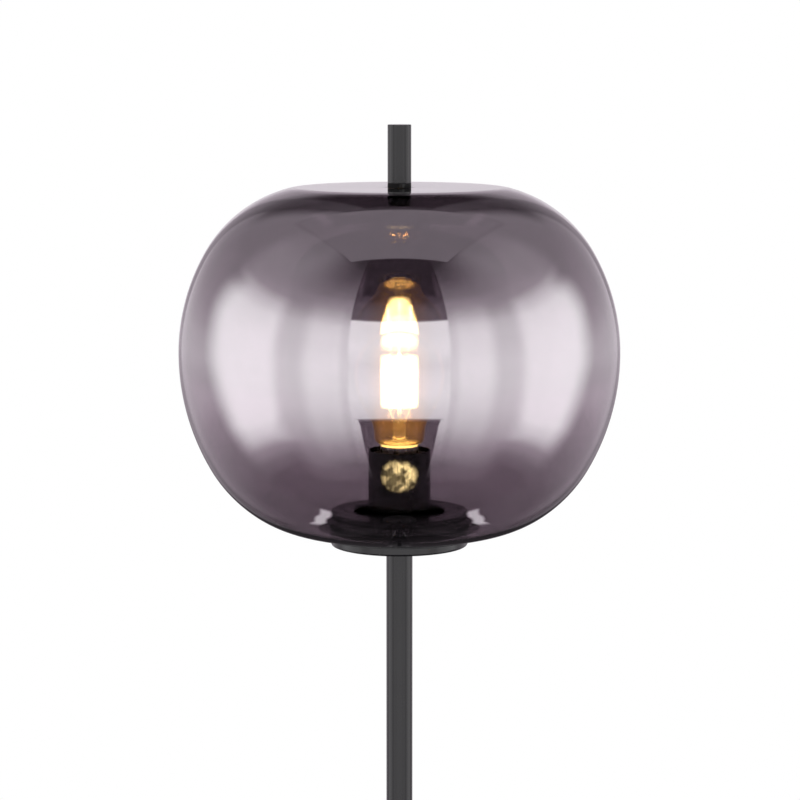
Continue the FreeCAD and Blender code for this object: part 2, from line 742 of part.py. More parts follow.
# ---------------------------------------------------------------- bulb
def tip_contact():
    top = TIP_BOTTOM + TIP_HEIGHT
    return turned([
        (0, TIP_BOTTOM, 0),
        (TIP_RADIUS, TIP_BOTTOM, SOFT_EDGE),
        (TIP_RADIUS, top, 0),
        (0, top, 0),
    ])


def cap_insulator():
    """Moulded disc between the tip and the cap, with a spigot inside the cap."""
    bottom = TIP_BOTTOM + TIP_HEIGHT + TIP_GAP
    spigot = CAP_BORE - INSULATOR_PLAY
    return turned([
        (0, bottom, 0),
        (TIP_RADIUS + INSULATOR_FOOT, bottom, EDGE),
        (spigot, CAP_THREAD_BOTTOM - INSULATOR_SHOULDER, EDGE),
        (spigot, CAP_THREAD_BOTTOM + INSULATOR_SPIGOT, 0),
        (0, CAP_THREAD_BOTTOM + INSULATOR_SPIGOT, 0),
    ])


def screw_cap():
    """Threaded shell of the cap, plain skirt above it and a turned-in foot below."""
    thread = helix_solid(THREAD_RADIUS, CAP_THREAD_BOTTOM, CAP_THREAD_TOP)
    thread = thread.cut(rod(CAP_BORE, CAP_THREAD_BOTTOM - PAST, CAP_THREAD_TOP + PAST))
    inside = CAP_SKIRT_RADIUS - CAP_SHEET
    foot_top = CAP_THREAD_TOP + 2 * CAP_STEP
    skirt = turned([
        (CAP_BORE, CAP_THREAD_TOP, 0),
        (CAP_SKIRT_RADIUS - CAP_STEP, CAP_THREAD_TOP, 0),
        (CAP_SKIRT_RADIUS, CAP_THREAD_TOP + CAP_STEP, 0),
        (CAP_SKIRT_RADIUS, CAP_TOP, FINE_EDGE),
        (inside, CAP_TOP, 0),
        (inside, foot_top, 0),
        (CAP_BORE, foot_top, 0),
    ])
    return thread.fuse(skirt)


def bulb_driver():
    """Small round circuit board with its two tallest parts, inside the cap."""
    bottom = CAP_THREAD_BOTTOM + INSULATOR_SPIGOT
    face = bottom + BOARD_THICKNESS
    board = rod(CAP_BORE - INSULATOR_PLAY, bottom, face)
    capacitor = rod(CAPACITOR_RADIUS, face, face + CAPACITOR_HEIGHT, -CAPACITOR_OFFSET)
    chip = block((*CHIP_LOW, face), (*CHIP_HIGH, face + CHIP_HEIGHT))
    return board.fuse([capacitor, chip]).removeSplitter()


def bulb_envelope():
    """Clear glass pear with a neck that ends inside the cap."""
    start = (BULB_RADIUS, BULB_CENTRE)
    dome = ((BULB_RADIUS, 90.0),)
    outer = chain(start, 0, dome) + chain(start, 0, BULB_LOWER_ARCS)
    inner = chain(start, 0, dome, BULB_WALL) + chain(start, 0, BULB_LOWER_ARCS, BULB_WALL)
    top = BULB_CENTRE + BULB_RADIUS
    inner_end = chain_end(start, 0, BULB_LOWER_ARCS, BULB_WALL)
    inner_neck = NECK_RADIUS - BULB_WALL
    outer.append(line(at(NECK_RADIUS, NECK_TOP), at(NECK_RADIUS, NECK_BOTTOM)))
    outer.append(line(at(NECK_RADIUS, NECK_BOTTOM), at(inner_neck, NECK_BOTTOM)))
    inner.append(line(at(inner_neck, NECK_BOTTOM), at(inner_neck, inner_end.z)))
    inner.append(line(at(inner_neck, inner_end.z), inner_end))
    inner.append(line(at(0, top - BULB_WALL), at(0, top)))
    return revolve(outer + inner)


def bulb_stem():
    """Glass mount: a flare sealed in the neck, a tube, and a thin rod up the middle."""
    flare = NECK_RADIUS - BULB_WALL - MOUNT_FLARE_PLAY
    tube_top = NECK_BOTTOM + MOUNT_HEIGHT
    head = BULB_CENTRE + FILAMENT_HEAD[1] + MOUNT_ABOVE_FILAMENTS
    return turned([
        (0, NECK_BOTTOM, 0),
        (flare, NECK_BOTTOM, 0),
        (flare, NECK_BOTTOM + MOUNT_FLARE_HEIGHT, FINE_EDGE),
        (MOUNT_RADIUS, NECK_BOTTOM + MOUNT_WAIST_HEIGHT, MOUNT_WAIST_ROUND),
        (MOUNT_RADIUS, tube_top - MOUNT_SHOULDER, WIDE_FILLET),
        (MOUNT_TIP_RADIUS, tube_top, SOFT_EDGE),
        (MOUNT_TIP_RADIUS, head, SOFT_EDGE),
        (0, head, 0),
    ])


def filament_point(index, place):
    """Point on one filament's line, at its foot or head."""
    radius, height = place
    angle = math.radians(360 / FILAMENT_COUNT * (index + 0.5))
    x = radius * math.cos(angle)
    y = radius * math.sin(angle)
    return (x, y, BULB_CENTRE + height)


def filaments():
    sticks = []
    for index in range(FILAMENT_COUNT):
        foot = filament_point(index, FILAMENT_FOOT)
        head = filament_point(index, FILAMENT_HEAD)
        sticks.append(straight_wire(foot, head, FILAMENT_RADIUS))
    return sticks


def filament_wires():
    """A support wire from the mount to each end of each filament."""
    mount = bulb_stem()
    foot_level = NECK_BOTTOM + MOUNT_HEIGHT - WIRE_FOOT_DROP - BULB_CENTRE
    foot_root = (MOUNT_RADIUS - WIRE_FOOT_SUNK, foot_level)
    head_root = (MOUNT_TIP_RADIUS - WIRE_HEAD_SUNK, FILAMENT_HEAD[1] + WIRE_HEAD_RISE)
    wires = []
    sticks = filaments()
    for index in range(FILAMENT_COUNT):
        for root, end in ((foot_root, FILAMENT_FOOT), (head_root, FILAMENT_HEAD)):
            start = filament_point(index, root)
            finish = filament_point(index, end)
            wires.append(straight_wire(start, finish, WIRE_RADIUS).cut([mount, sticks[index]]))
    return wires


# ---------------------------------------------------------------- shade
def glass_globe():
    """Blown globe with a nearly flat top, a small hole in it, and a rounded mouth below."""
    start = (GLOBE_RADIUS, EQUATOR)
    outer = chain(start, 0, UPPER_ARCS) + chain(start, 0, LOWER_ARCS)
    inner = chain(start, 0, UPPER_ARCS, GLASS_WALL) + chain(start, 0, LOWER_ARCS, GLASS_WALL)
    middle = chain_end(start, 0, UPPER_ARCS).x
    land = chain_end(start, 0, LOWER_ARCS).x
    half = GLASS_WALL / 2
    top_edge = polyline([
        at(middle, GLASS_TOP),
        at(STEM_HOLE_RADIUS, GLASS_TOP),
        at(STEM_HOLE_RADIUS, GLASS_TOP - GLASS_WALL),
        at(middle, GLASS_TOP - GLASS_WALL),
    ])
    lip_start = at(MOUTH_RADIUS + half, GLASS_SEAT)
    lip_end = at(MOUTH_RADIUS + half, GLASS_SEAT + GLASS_WALL)
    mouth = [
        line(at(land, GLASS_SEAT), lip_start),
        Part.Arc(lip_start, at(MOUTH_RADIUS, GLASS_SEAT + half), lip_end).toShape(),
        line(lip_end, at(land, GLASS_SEAT + GLASS_WALL)),
    ]
    return revolve(outer + inner + top_edge + mouth)


def stem_rod():
    bore_end = STEM_BOTTOM + STEM_SCREW_GRIP + STEM_BORE_SPARE
    return turned([
        (STEM_SCREW_RADIUS, STEM_BOTTOM, 0),
        (STEM_RADIUS, STEM_BOTTOM, EDGE),
        (STEM_RADIUS, TOTAL_HEIGHT, EDGE),
        (0, TOTAL_HEIGHT, 0),
        (0, bore_end, 0),
        (STEM_SCREW_RADIUS, bore_end, 0),
    ])


def stem_seal_outer():
    """Black rubber foot between the rod and the glass."""
    return ring(STEM_HOLE_RADIUS, STEM_RADIUS, GLASS_TOP, STEM_BOTTOM, FINE_EDGE)


def stem_seal_inner():
    top = GLASS_TOP - GLASS_WALL
    return ring(STEM_HOLE_RADIUS, STEM_RADIUS, top - SEAL_THICKNESS, top, FINE_EDGE)


def stem_washer():
    """Thick washer as wide as the rod."""
    top = GLASS_TOP - GLASS_WALL - SEAL_THICKNESS
    return ring(STEM_HOLE_RADIUS, STEM_RADIUS, top - STEM_WASHER_THICKNESS, top, FINE_EDGE)


def stem_screw():
    """Wide-headed screw up through washer, seals and glass into the rod."""
    seat = GLASS_TOP - GLASS_WALL - SEAL_THICKNESS - STEM_WASHER_THICKNESS
    head_bottom = seat - STEM_SCREW_HEAD_HEIGHT
    screw = turned([
        (0, head_bottom, 0),
        (STEM_SCREW_HEAD_RADIUS, head_bottom, STEM_SCREW_DOME),
        (STEM_SCREW_HEAD_RADIUS, seat, 0),
        (STEM_SCREW_RADIUS - PLAY, seat, 0),
        (STEM_SCREW_RADIUS - PLAY, STEM_BOTTOM + STEM_SCREW_GRIP, EDGE),
        (0, STEM_BOTTOM + STEM_SCREW_GRIP, 0),
    ])
    reach, half, depth = STEM_SCREW_SLOT
    for angle in (0, 90):
        slot = block((-reach, -half, head_bottom - PAST), (reach, half, head_bottom + depth))
        slot.rotate(FreeCAD.Vector(0, 0, 0), FreeCAD.Vector(0, 0, 1), angle)
        screw = screw.cut(slot)
    return screw


# ---------------------------------------------------------------- writing the pieces
def one_shape(pieces):
    """A single solid, or a group of separate solids."""
    if isinstance(pieces, list):
        return Part.makeCompound([Part.Solid(piece.Shells[0]) for piece in pieces])
    return Part.Solid(pieces.Shells[0])


def write(name, pieces):
    shape = one_shape(pieces)
    closed = all(solid.isValid() and solid.Volume > 0 for solid in shape.Solids)
    if not closed:
        raise ValueError(name + " isn't a closed solid")
    shape.exportStep("parts/" + name + ".step")
    print(f"{name}: {len(shape.Solids)} solid(s), {shape.Volume / 1000:.2f} cm3")


PIECES = (
    base_pad, base_weight, base_cover, base_nipple, base_washer, base_nut, cable_gland, gland_nut,
    pole_bushes, pole_joiners, inner_lead, lead_cores,
    top_nipple, shade_dish, shade_collar, shade_gasket, toothed_washer, nipple_nut,
    holder_sleeve, holder_base, holder_grub_screw, holder_core, thread_shell,
    centre_contact, side_contact, terminal_screws,
    tip_contact, cap_insulator, screw_cap, bulb_driver, bulb_stem, filament_wires, filaments,
    bulb_envelope,
    glass_globe, stem_rod, stem_seal_outer, stem_seal_inner, stem_washer, stem_screw,
)
POLE_NAMES = ("pole_lower", "pole_middle", "pole_upper")


def main():
    os.makedirs("parts", exist_ok=True)
    for piece in PIECES:
        write(piece.__name__, piece())
    for index, name in enumerate(POLE_NAMES):
        write(name, pole_tube(index))


main()
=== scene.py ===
from math import cos, pi, radians, sin

import bmesh
import bpy
from bpy.props import FloatProperty, FloatVectorProperty, IntProperty, PointerProperty
from bpy.types import NodeSocket, Operator, Panel, PropertyGroup
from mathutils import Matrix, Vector


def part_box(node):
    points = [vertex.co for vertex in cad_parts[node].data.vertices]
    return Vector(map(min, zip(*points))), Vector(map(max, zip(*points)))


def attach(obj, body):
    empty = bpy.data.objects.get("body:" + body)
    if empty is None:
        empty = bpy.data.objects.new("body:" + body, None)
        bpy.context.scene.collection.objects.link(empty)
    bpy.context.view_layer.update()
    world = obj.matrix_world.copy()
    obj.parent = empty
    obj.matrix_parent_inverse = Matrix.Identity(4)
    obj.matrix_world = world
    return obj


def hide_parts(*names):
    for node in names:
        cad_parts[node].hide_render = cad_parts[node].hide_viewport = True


bl_info = {
    "name": "Globe Floor Lamp",
    "version": (1, 0, 0),
    "blender": (4, 5, 0),
    "location": "View3D > Sidebar > Lamp",
    "description": "Glass, metal and light of a floor lamp with one smoked globe",
    "category": "Object",
}

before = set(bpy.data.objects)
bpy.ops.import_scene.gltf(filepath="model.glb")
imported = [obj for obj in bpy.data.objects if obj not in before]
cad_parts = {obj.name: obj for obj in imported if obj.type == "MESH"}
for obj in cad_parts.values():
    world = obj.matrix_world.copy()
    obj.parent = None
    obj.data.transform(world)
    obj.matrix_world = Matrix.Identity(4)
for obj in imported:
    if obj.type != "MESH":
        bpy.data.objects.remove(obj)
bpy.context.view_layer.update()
SLOTS = {name: node.data.materials[0].name for name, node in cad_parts.items()}

# ---------------------------------------------------------------- sizes, in metres
# An outline is a chain of tangent arcs from the widest level: each arc is its radius and the
# angle of the surface's normal above the horizontal where it ends.
GLOBE_UPPER_ARCS = ((0.138, 30.0), (0.091, 75.0), (0.035, 90.0), (3.2, 90.93), (-0.2, 90.0))
GLOBE_LOWER_ARCS = ((0.1559, -30.0), (0.0958, -55.0), (0.0818, -90.0))
MOUTH_RADIUS = 0.0479
STEM_HOLE_RADIUS = 0.0034

BULB_LOWER_ARCS = ((0.046, -34.0), (-0.030, 0.0), (0.0056, -82.0))
STRAND_COUNT = 6
STRAND_FOOT = (0.0095, -0.022)
STRAND_HEAD = (0.007, 0.0125)
STRAND_CHIPS = 24
STEM_FLARE = 0.005
# The glow painted on the bulb's glass, by distance aside of its middle: the painted core, the painted halo and
# the painted amber tint are full inside the first distance and gone outside the second.
CORE_REACH = (0.0085, 0.0135)
HALO_REACH = (0.010, 0.027)
AMBER_REACH = (0.0125, 0.018)
# Its heights: how far the painted core stays inside the strands' ends, how far the painted halo goes past
# them, how far below them the glass is fully tinted in painted amber, and how far up from the cap its painted
# foot glow reaches.
CORE_INSET = 0.004
CORE_SOFT = 0.003
HALO_BELOW = 0.022
HALO_ABOVE = 0.006
HALO_SOFT = (0.012, 0.008)
AMBER_DROP = 0.010
FOOT_REACH = 0.003
# How far the glass has to turn away to show its painted lit outline.
RIM_EDGE = (0.80, 0.96)
# How level the camera's sight is at the bulb: the cosine of its slope.
LEVEL_SIGHT = 0.99
# The bulb's reflection painted on the sleeve as emission: how far below the rim it starts and ends, the facing
# at which it ends sideways, the streaks' fineness along each axis and that of the patches.
SHEEN_DROP = (0.0030, 0.0272)
SHEEN_EDGE = 0.22
SHEEN_STREAKS = (420.0, 420.0, 70.0)
SHEEN_PATCHES = 110.0

STUDIO_EYE = (0.0004, -1.8906, 1.6143)
STUDIO_TILT = 82.422
STUDIO_LENS = 125.76

# Half the ceiling panel's width and its shift away from the camera, both per metre of height.
CEILING_HALF = 0.53
CEILING_SHIFT = 0.04
CEILING_TAPER = (0.256, 0.93)
CEILING_LEVEL = 0.345
# Two narrow strips low behind the lamp: how far below the horizon they stand by turn from the
# camera's side, half their width, their softness across and along, and where they start and end.
LOW_STRIP_DEPTH = ((0, 66.0), (115, 65.5), (123, 64.5), (132, 61.5), (142, 58.5), (152, 51.0), (180, 44.0))
LOW_STRIP_SOFT = 0.8
LOW_STRIP_FADE = 4.0
LOW_STRIP_TURNS = (108.0, 147.0)
LOW_STRIP_HALF = 1.8
LOW_STRIP_LEVEL = 1.15
# What is seen straight through the glass: a grey backdrop that meets a white floor between
# these angles below the horizon.
BACKDROP_FOOT = (-8.2, -7.4)
BACKDROP_LEVEL = 0.2

# Brightness of the studio by height above the horizon in degrees: ahead of the lamp, where the
# camera stands; on the strips beside it; on the panels at left and right; and further round.
PANEL_PROFILES = {
    "ahead": ((-90, 0.0), (-28, 0.0), (-26.8, 0.15), (-26, 1.55), (-20, 1.92),
              (-14, 2.23), (-5, 2.15), (0, 2.0), (10, 2.30), (20, 2.08), (23.9, 2.04), (24.8, 0.12),
              (30, 0.08), (36, 0.0), (90, 0.0)),
    "strips": ((-90, 0.0), (-58, 0.0), (-50, 0.12), (-45, 0.36), (-40, 0.6), (-30, 1.32), (-20, 1.84),
               (-10, 2.20), (0, 2.25), (10, 2.04), (15, 1.98), (20, 1.76), (25, 1.16), (30, 0.68),
               (36, 0.34), (45, 0.12), (57, 0.02)),
    "panels": ((-90, 0.0), (-50, 0.0), (-45, 0.02), (-40, 0.18), (-35, 0.52), (-30, 1.58), (-25, 2.06),
               (-20, 2.11), (-10, 2.33), (0, 2.35), (10, 2.28), (15, 2.15), (20, 1.97), (25, 1.38),
               (30, 0.62), (35, 0.55), (45, 0.54), (60, 0.40)),
    "back sides": ((-90, 0.0), (-60, 0.02), (-45, 0.06), (-40, 0.10), (-30, 0.26), (-20, 0.46), (-15, 0.67),
                   (-10, 0.79), (-5, 0.95), (0, 0.90), (5, 0.70), (10, 0.56), (15, 0.49), (20, 0.43),
                   (30, 0.37), (60, 0.37)),
    "behind": ((-90, 0.0), (-25, 0.03), (-20, 0.04), (-15, 0.09), (-10, 0.29), (-5, 0.76), (0, 0.78),
               (5, 0.86), (10, 0.61), (15, 0.50), (20, 0.44), (25, 0.29), (30, 0.07), (35, 0.0), (55, 0.0),
               (60, 0.1)),
    "rim": ((-90, 0.0), (-35, 0.05), (-25, 0.16), (-20, 0.25), (-15, 0.36), (-10, 0.38), (-5, 0.56),
            (0, 0.39), (10, 0.38), (20, 0.26), (30, 0.10), (40, 0.05), (60, 0.1)),
}
# Turns from the camera's side at which a panel's upright edge stands, by height.
PANEL_EDGES = {
    "ahead end": ((-90, 20.0), (-30, 21.5), (-26.2, 22.5), (-25.8, 26.5), (90, 26.5)),
    "panels start": ((-90, 62.0), (-36, 62.0), (-31, 74.0), (-20, 69.0), (-10, 68.0), (26, 68.0), (34, 60.0),
                     (45, 53.0), (55, 48.0), (90, 48.0)),
    "panels start softness": ((-90, 9.0), (-35, 9.0), (-31, 5.0), (27, 5.0), (35, 22.0), (90, 22.0)),
    "panels end": ((-90, 102.0), (-30, 103.5), (-25, 106.0), (-15, 107.5), (-5, 111.5), (5, 113.5),
                   (12, 115.0), (17, 113.5), (20, 111.5), (25, 105.0), (32, 110.0), (90, 118.0)),
    "behind start": ((-90, 157.0), (20, 157.0), (32, 152.0), (50, 152.0), (56, 156.0), (90, 156.0)),
}
# The turns at which each profile's window starts and ends, and how soft these edges are.
PANEL_WINDOWS = {
    "strips": (-1.0, 80.0, 0.5, 4.0),
    "ahead": (-1.0, "ahead end", 0.5, 0.6),
    "panels": ("panels start", "panels end", "panels start softness", 11.0),
    "behind": ("behind start", 181.0, 9.0, 0.5),
    "rim": (157.0, 167.0, 1.5, 1.5),
}
# Darker stretches: windows of turn and the share of light that is left, up to a height.
SHADED = (((50.0, 67.0, 5.0, 5.0), 0.77), ((26.0, 30.5, 1.0, 2.0), 0.88))
SHADE_TOP = (27.0, 34.0)


# ---------------------------------------------------------------- settings
class GlassSettings(PropertyGroup):
    globe_wall: FloatProperty(
        name="Globe wall", description="Thickness of the blown globe",
        default=0.0024, min=0.001, max=0.006, precision=4, unit="LENGTH")
    bulb_wall: FloatProperty(
        name="Bulb wall", description="Thickness of the bulb's glass",
        default=0.0008, min=0.0003, max=0.002, precision=4, unit="LENGTH")
    smoke: FloatVectorProperty(
        name="Smoke", description="Colour of the half-mirrored smoked glass",
        default=(0.49, 0.425, 0.47), min=0.0, max=1.0, size=3, subtype="COLOR")
    mirror: FloatProperty(
        name="Mirror", description="Index of refraction that gives the mirror film its strength",
        default=2.8, min=1.0, max=4.0)
    rounds: IntProperty(
        name="Steps round", description="Steps round a turned glass piece",
        default=288, min=48, max=720)


class GlowSettings(PropertyGroup):
    colour: FloatVectorProperty(
        name="Glow", description="Colour of the lit strands",
        default=(1.0, 0.74, 0.22), min=0.0, max=1.0, size=3, subtype="COLOR")
    strength: FloatProperty(
        name="Strength", description="Brightness of the lit strands",
        default=260.0, min=0.0, max=600.0)
    # Stem sets the glow painted on the glass mount as its emission.
    stem: FloatProperty(
        name="Stem", description="Brightness of the glass mount between the strands",
        default=10.0, min=0.0, max=100.0)
    # Core, halo, rim and foot set the glow painted on the bulb's glass as its emission.
    core: FloatProperty(
        name="Core", description="Brightness of the light that the bulb's glass scatters at its middle",
        default=60.0, min=0.0, max=100.0)
    halo: FloatProperty(
        name="Halo", description="Brightness of the wide halo as a share of the core's",
        default=0.007, min=0.0, max=1.0)
    rim: FloatProperty(
        name="Rim", description="Brightness of the glass's outline as a share of the core's",
        default=0.012, min=0.0, max=1.0)
    foot: FloatProperty(
        name="Foot", description="Brightness of the glass at the cap as a share of the core's",
        default=0.05, min=0.0, max=1.0)
    halo_colour: FloatVectorProperty(
        name="Halo colour", description="Colour of the light that the bulb's glass scatters",
        default=(1.0, 0.50, 0.10), min=0.0, max=1.0, size=3, subtype="COLOR")
    # Sheen sets the bulb's reflection painted on the sleeve as emission.
    sheen: FloatProperty(
        name="Sheen", description="Brightness of the bulb's reflection on the sleeve",
        default=5.0, min=0.0, max=20.0)
    sheen_colour: FloatVectorProperty(
        name="Sheen colour", description="Colour of the bulb's reflection on the sleeve",
        default=(1.0, 0.84, 0.34), min=0.0, max=1.0, size=3, subtype="COLOR")
    # Amber is a tint painted into the bulb's glass colour for the strands' warm light.
    amber: FloatVectorProperty(
        name="Amber", description="Colour of the bulb's glass below the strands",
        default=(0.84, 0.66, 0.46), min=0.0, max=1.0, size=3, subtype="COLOR")
    strand_radius: FloatProperty(
        name="Strand radius", description="Radius of one lit strand with its coating",
        default=0.001, min=0.0003, max=0.003, precision=4, unit="LENGTH")


class MetalSettings(PropertyGroup):
    powder_coat: FloatVectorProperty(
        name="Powder coat", description="Colour of the black powder coat",
        default=(0.007, 0.0068, 0.0075), min=0.0, max=1.0, size=3, subtype="COLOR")
    enamel: FloatVectorProperty(
        name="Enamel", description="Colour of the sleeve's gloss enamel",
        default=(0.006, 0.0055, 0.005), min=0.0, max=1.0, size=3, subtype="COLOR")


class StudioSettings(PropertyGroup):
    floor: FloatVectorProperty(
        name="Floor", description="Colour of the studio floor",
        default=(0.80, 0.80, 0.80), min=0.0, max=1.0, size=3, subtype="COLOR")
    floor_radius: FloatProperty(
        name="Floor radius", description="Reach of the studio floor round the lamp",
        default=3.0, min=1.0, max=10.0, unit="LENGTH")
    light: FloatProperty(
        name="Light", description="Strength of the studio's light on surfaces",
        default=0.75, min=0.0, max=4.0)


class LampSettings(PropertyGroup):
    glass: PointerProperty(type=GlassSettings, name="Glass", description="Globe and bulb glass")
    glow: PointerProperty(type=GlowSettings, name="Glow", description="The lit strands")
    metal: PointerProperty(type=MetalSettings, name="Metal", description="Coated metal")
    studio: PointerProperty(type=StudioSettings, name="Studio", description="Floor and light")


# ---------------------------------------------------------------- node trees
RAMP_TOP = 3.0


class Tree:
    """Adds nodes to one node tree and joins them."""

    def __init__(self, tree):
        self.tree = tree
        tree.nodes.clear()

    def add(self, kind, inputs=None, **settings):
        """Makes one shader node. An input is a value, or the socket that feeds it."""
        made = self.tree.nodes.new(kind if kind.startswith("Node") else "ShaderNode" + kind)
        made.location.x = 220 * len(self.tree.nodes)
        for name, value in settings.items():
            setattr(made, name, value)
        for name, value in (inputs or {}).items():
            self.feed(made.inputs[name], value)
        return made

    def feed(self, socket, value):
        if isinstance(value, NodeSocket):
            self.tree.links.new(value, socket)
        else:
            socket.default_value = value

    def math(self, operation, *values, clamp=False):
        """One step of arithmetic on numbers or sockets."""
        made = self.add("Math", operation=operation, use_clamp=clamp)
        for socket, value in zip(made.inputs, values):
            self.feed(socket, value)
        return made.outputs[0]

    def mix(self, factor, first, second):
        """A colour between two colours."""
        made = self.add("Mix", data_type="RGBA")
        self.feed(made.inputs[0], factor)
        self.feed(made.inputs[6], first)
        self.feed(made.inputs[7], second)
        return made.outputs[2]

    def blend(self, factor, first, second):
        """A number between two numbers."""
        made = self.add("Mix", data_type="FLOAT")
        self.feed(made.inputs[0], factor)
        self.feed(made.inputs[2], first)
        self.feed(made.inputs[3], second)
        return made.outputs[0]

    def smooth(self, value, low, high):
        """0 below low, 1 above high and a soft step between them."""
        made = self.add("MapRange", interpolation_type="SMOOTHSTEP")
        self.feed(made.inputs["Value"], value)
        self.feed(made.inputs["From Min"], low)
        self.feed(made.inputs["From Max"], high)
        return made.outputs[0]

    def ramp(self, value, stops, top=RAMP_TOP, span=(-90.0, 90.0)):
        """A number from 0 to top read from stops of (place, number), with places across span."""
        low, high = span
        place = self.add("MapRange", {"Value": value, "From Min": low, "From Max": high})
        made = self.add("ValToRGB", {"Fac": place.outputs[0]})
        elements = made.color_ramp.elements
        while len(elements) < len(stops):
            elements.new(1.0)
        for element, (position, brightness) in zip(elements, stops):
            element.position = (position - low) / (high - low)
            level = brightness / top
            element.color = (level, level, level, 1.0)
        return self.math("MULTIPLY", made.outputs[0], top)


def rgb(colour):
    return (*colour, 1.0)


def group(name, inputs, outputs):
    """An empty shader node group with named sockets, its tree and its two end nodes."""
    made = bpy.data.node_groups.new(name, "ShaderNodeTree")
    tree = Tree(made)
    for title, value in inputs:
        socket = made.interface.new_socket(name=title, in_out="INPUT", socket_type="NodeSocketFloat")
        socket.default_value = value
    for title in outputs:
        made.interface.new_socket(name=title, in_out="OUTPUT", socket_type="NodeSocketFloat")
    return made, tree, tree.add("NodeGroupInput"), tree.add("NodeGroupOutput")


def grain_group():
    """Grain of a coating or a moulding: fine bumps and slow cloudy changes of tone."""
    made, tree, given, result = group(
        "Grain", (("Size", 0.0006), ("Cloud Size", 0.03)), ("Height", "Speckle", "Cloud"))
    place = tree.add("TexCoord").outputs["Object"]
    fine = tree.math("DIVIDE", 1.0, given.outputs["Size"])
    slow = tree.math("DIVIDE", 1.0, given.outputs["Cloud Size"])
    bumps = tree.add("TexNoise", {"Vector": place, "Scale": fine, "Detail": 3.0, "Roughness": 0.55})
    spots = tree.add("TexVoronoi", {"Vector": place, "Scale": fine}, feature="SMOOTH_F1")
    cloud = tree.add("TexNoise", {"Vector": place, "Scale": slow, "Detail": 4.0})
    height = tree.blend(0.35, bumps.outputs[0], spots.outputs["Distance"])
    tree.feed(result.inputs["Height"], height)
    tree.feed(result.inputs["Speckle"], tree.smooth(bumps.outputs[0], 0.55, 0.70))
    tree.feed(result.inputs["Cloud"], tree.smooth(cloud.outputs[0], 0.30, 0.70))
    return made


def wear_group():
    """Edge wear: convex edges, broken up so that only some stretches show it."""
    made, tree, given, result = group("Edge Wear", (("Amount", 0.5), ("Patch Size", 0.01)), ("Mask",))
    edge = tree.smooth(tree.add("NewGeometry").outputs["Pointiness"], 0.515, 0.56)
    place = tree.add("TexCoord").outputs["Object"]
    scale = tree.math("DIVIDE", 1.0, given.outputs["Patch Size"])
    patches = tree.add("TexNoise", {"Vector": place, "Scale": scale, "Detail": 5.0})
    broken = tree.smooth(patches.outputs[0], 0.42, 0.62)
    mask = tree.math("MULTIPLY", edge, broken)
    tree.feed(result.inputs["Mask"], tree.math("MULTIPLY", mask, given.outputs["Amount"]))
    return made


def dust_group():
    """Thin dust that lies on surfaces that face up."""
    made, tree, given, result = group("Dust", (("Amount", 0.2), ("Fleck Size", 0.002)), ("Mask",))
    facing = tree.add("SeparateXYZ", {"Vector": tree.add("NewGeometry").outputs["Normal"]})
    upward = tree.smooth(facing.outputs["Z"], 0.55, 1.0)
    place = tree.add("TexCoord").outputs["Object"]
    scale = tree.math("DIVIDE", 1.0, given.outputs["Fleck Size"])
    flecks = tree.add("TexNoise", {"Vector": place, "Scale": scale, "Detail": 6.0, "Roughness": 0.7})
    mask = tree.math("MULTIPLY", upward, tree.smooth(flecks.outputs[0], 0.35, 0.75))
    tree.feed(result.inputs["Mask"], tree.math("MULTIPLY", mask, given.outputs["Amount"]))
    return made


def turning_group():
    """Tool marks of a turned or spun piece: fine rings about Z, uneven in depth."""
    made, tree, given, result = group("Turning", (("Pitch", 0.0003), ("Waver", 0.2)), ("Height", "Shade"))
    place = tree.add("SeparateXYZ", {"Vector": tree.add("TexCoord").outputs["Object"]})
    squares = [tree.math("MULTIPLY", place.outputs[axis], place.outputs[axis]) for axis in (0, 1)]
    radius = tree.math("SQRT", tree.math("ADD", *squares))
    along = tree.math("ADD", radius, place.outputs["Z"])
    turns = tree.math("DIVIDE", along, given.outputs["Pitch"])
    uneven = tree.add("TexNoise", {"W": turns, "Scale": 0.37, "Detail": 4.0}, noise_dimensions="1D")
    wave = tree.math("SINE", tree.math("MULTIPLY", turns, 2 * pi))
    height = tree.blend(given.outputs["Waver"], tree.math("MULTIPLY_ADD", wave, 0.5, 0.5), uneven.outputs[0])
    tree.feed(result.inputs["Height"], height)
    tree.feed(result.inputs["Shade"], uneven.outputs[0])
    return made


def window_group():
    """1 between two edges and 0 outside them, each edge as soft as it says."""
    sockets = (("Value", 0.0), ("From", 0.0), ("To", 1.0), ("Soft From", 0.1), ("Soft To", 0.1))
    made, tree, given, result = group("Soft Window", sockets, ("Mask",))
    value = given.outputs["Value"]
    first, last = given.outputs["From"], given.outputs["To"]
    soft_first, soft_last = given.outputs["Soft From"], given.outputs["Soft To"]
    rise = tree.smooth(value, tree.math("SUBTRACT", first, soft_first), tree.math("ADD", first, soft_first))
    fall = tree.smooth(value, tree.math("SUBTRACT", last, soft_last), tree.math("ADD", last, soft_last))
    tree.feed(result.inputs["Mask"], tree.math("SUBTRACT", rise, fall, clamp=True))
    return made


EFFECTS = {"Grain": grain_group, "Edge Wear": wear_group, "Dust": dust_group,
           "Turning": turning_group, "Soft Window": window_group}


def effect(tree, name, **values):
    """Places one shared effect in a tree with its own values. It is built at its first use."""
    shared = bpy.data.node_groups.get(name) or EFFECTS[name]()
    placed = tree.add("Group", node_tree=shared)
    for title, value in values.items():
        tree.feed(placed.inputs[title.replace("_", " ")], value)
    return placed.outputs


# ---------------------------------------------------------------- materials
def surface(name, constants):
    """A material, its tree and its Principled shader with constants on the shader's own sockets."""
    made = bpy.data.materials.new(name)
    made.use_nodes = True
    tree = Tree(made.node_tree)
    shader = tree.add("BsdfPrincipled", constants)
    out = tree.add("OutputMaterial", {"Surface": shader.outputs[0]})
    return made, tree, shader, out


def bump(tree, shader, height, depth, distance=0.001):
    made = tree.add("Bump", {"Height": height, "Strength": depth, "Distance": distance})
    tree.feed(shader.inputs["Normal"], made.outputs[0])


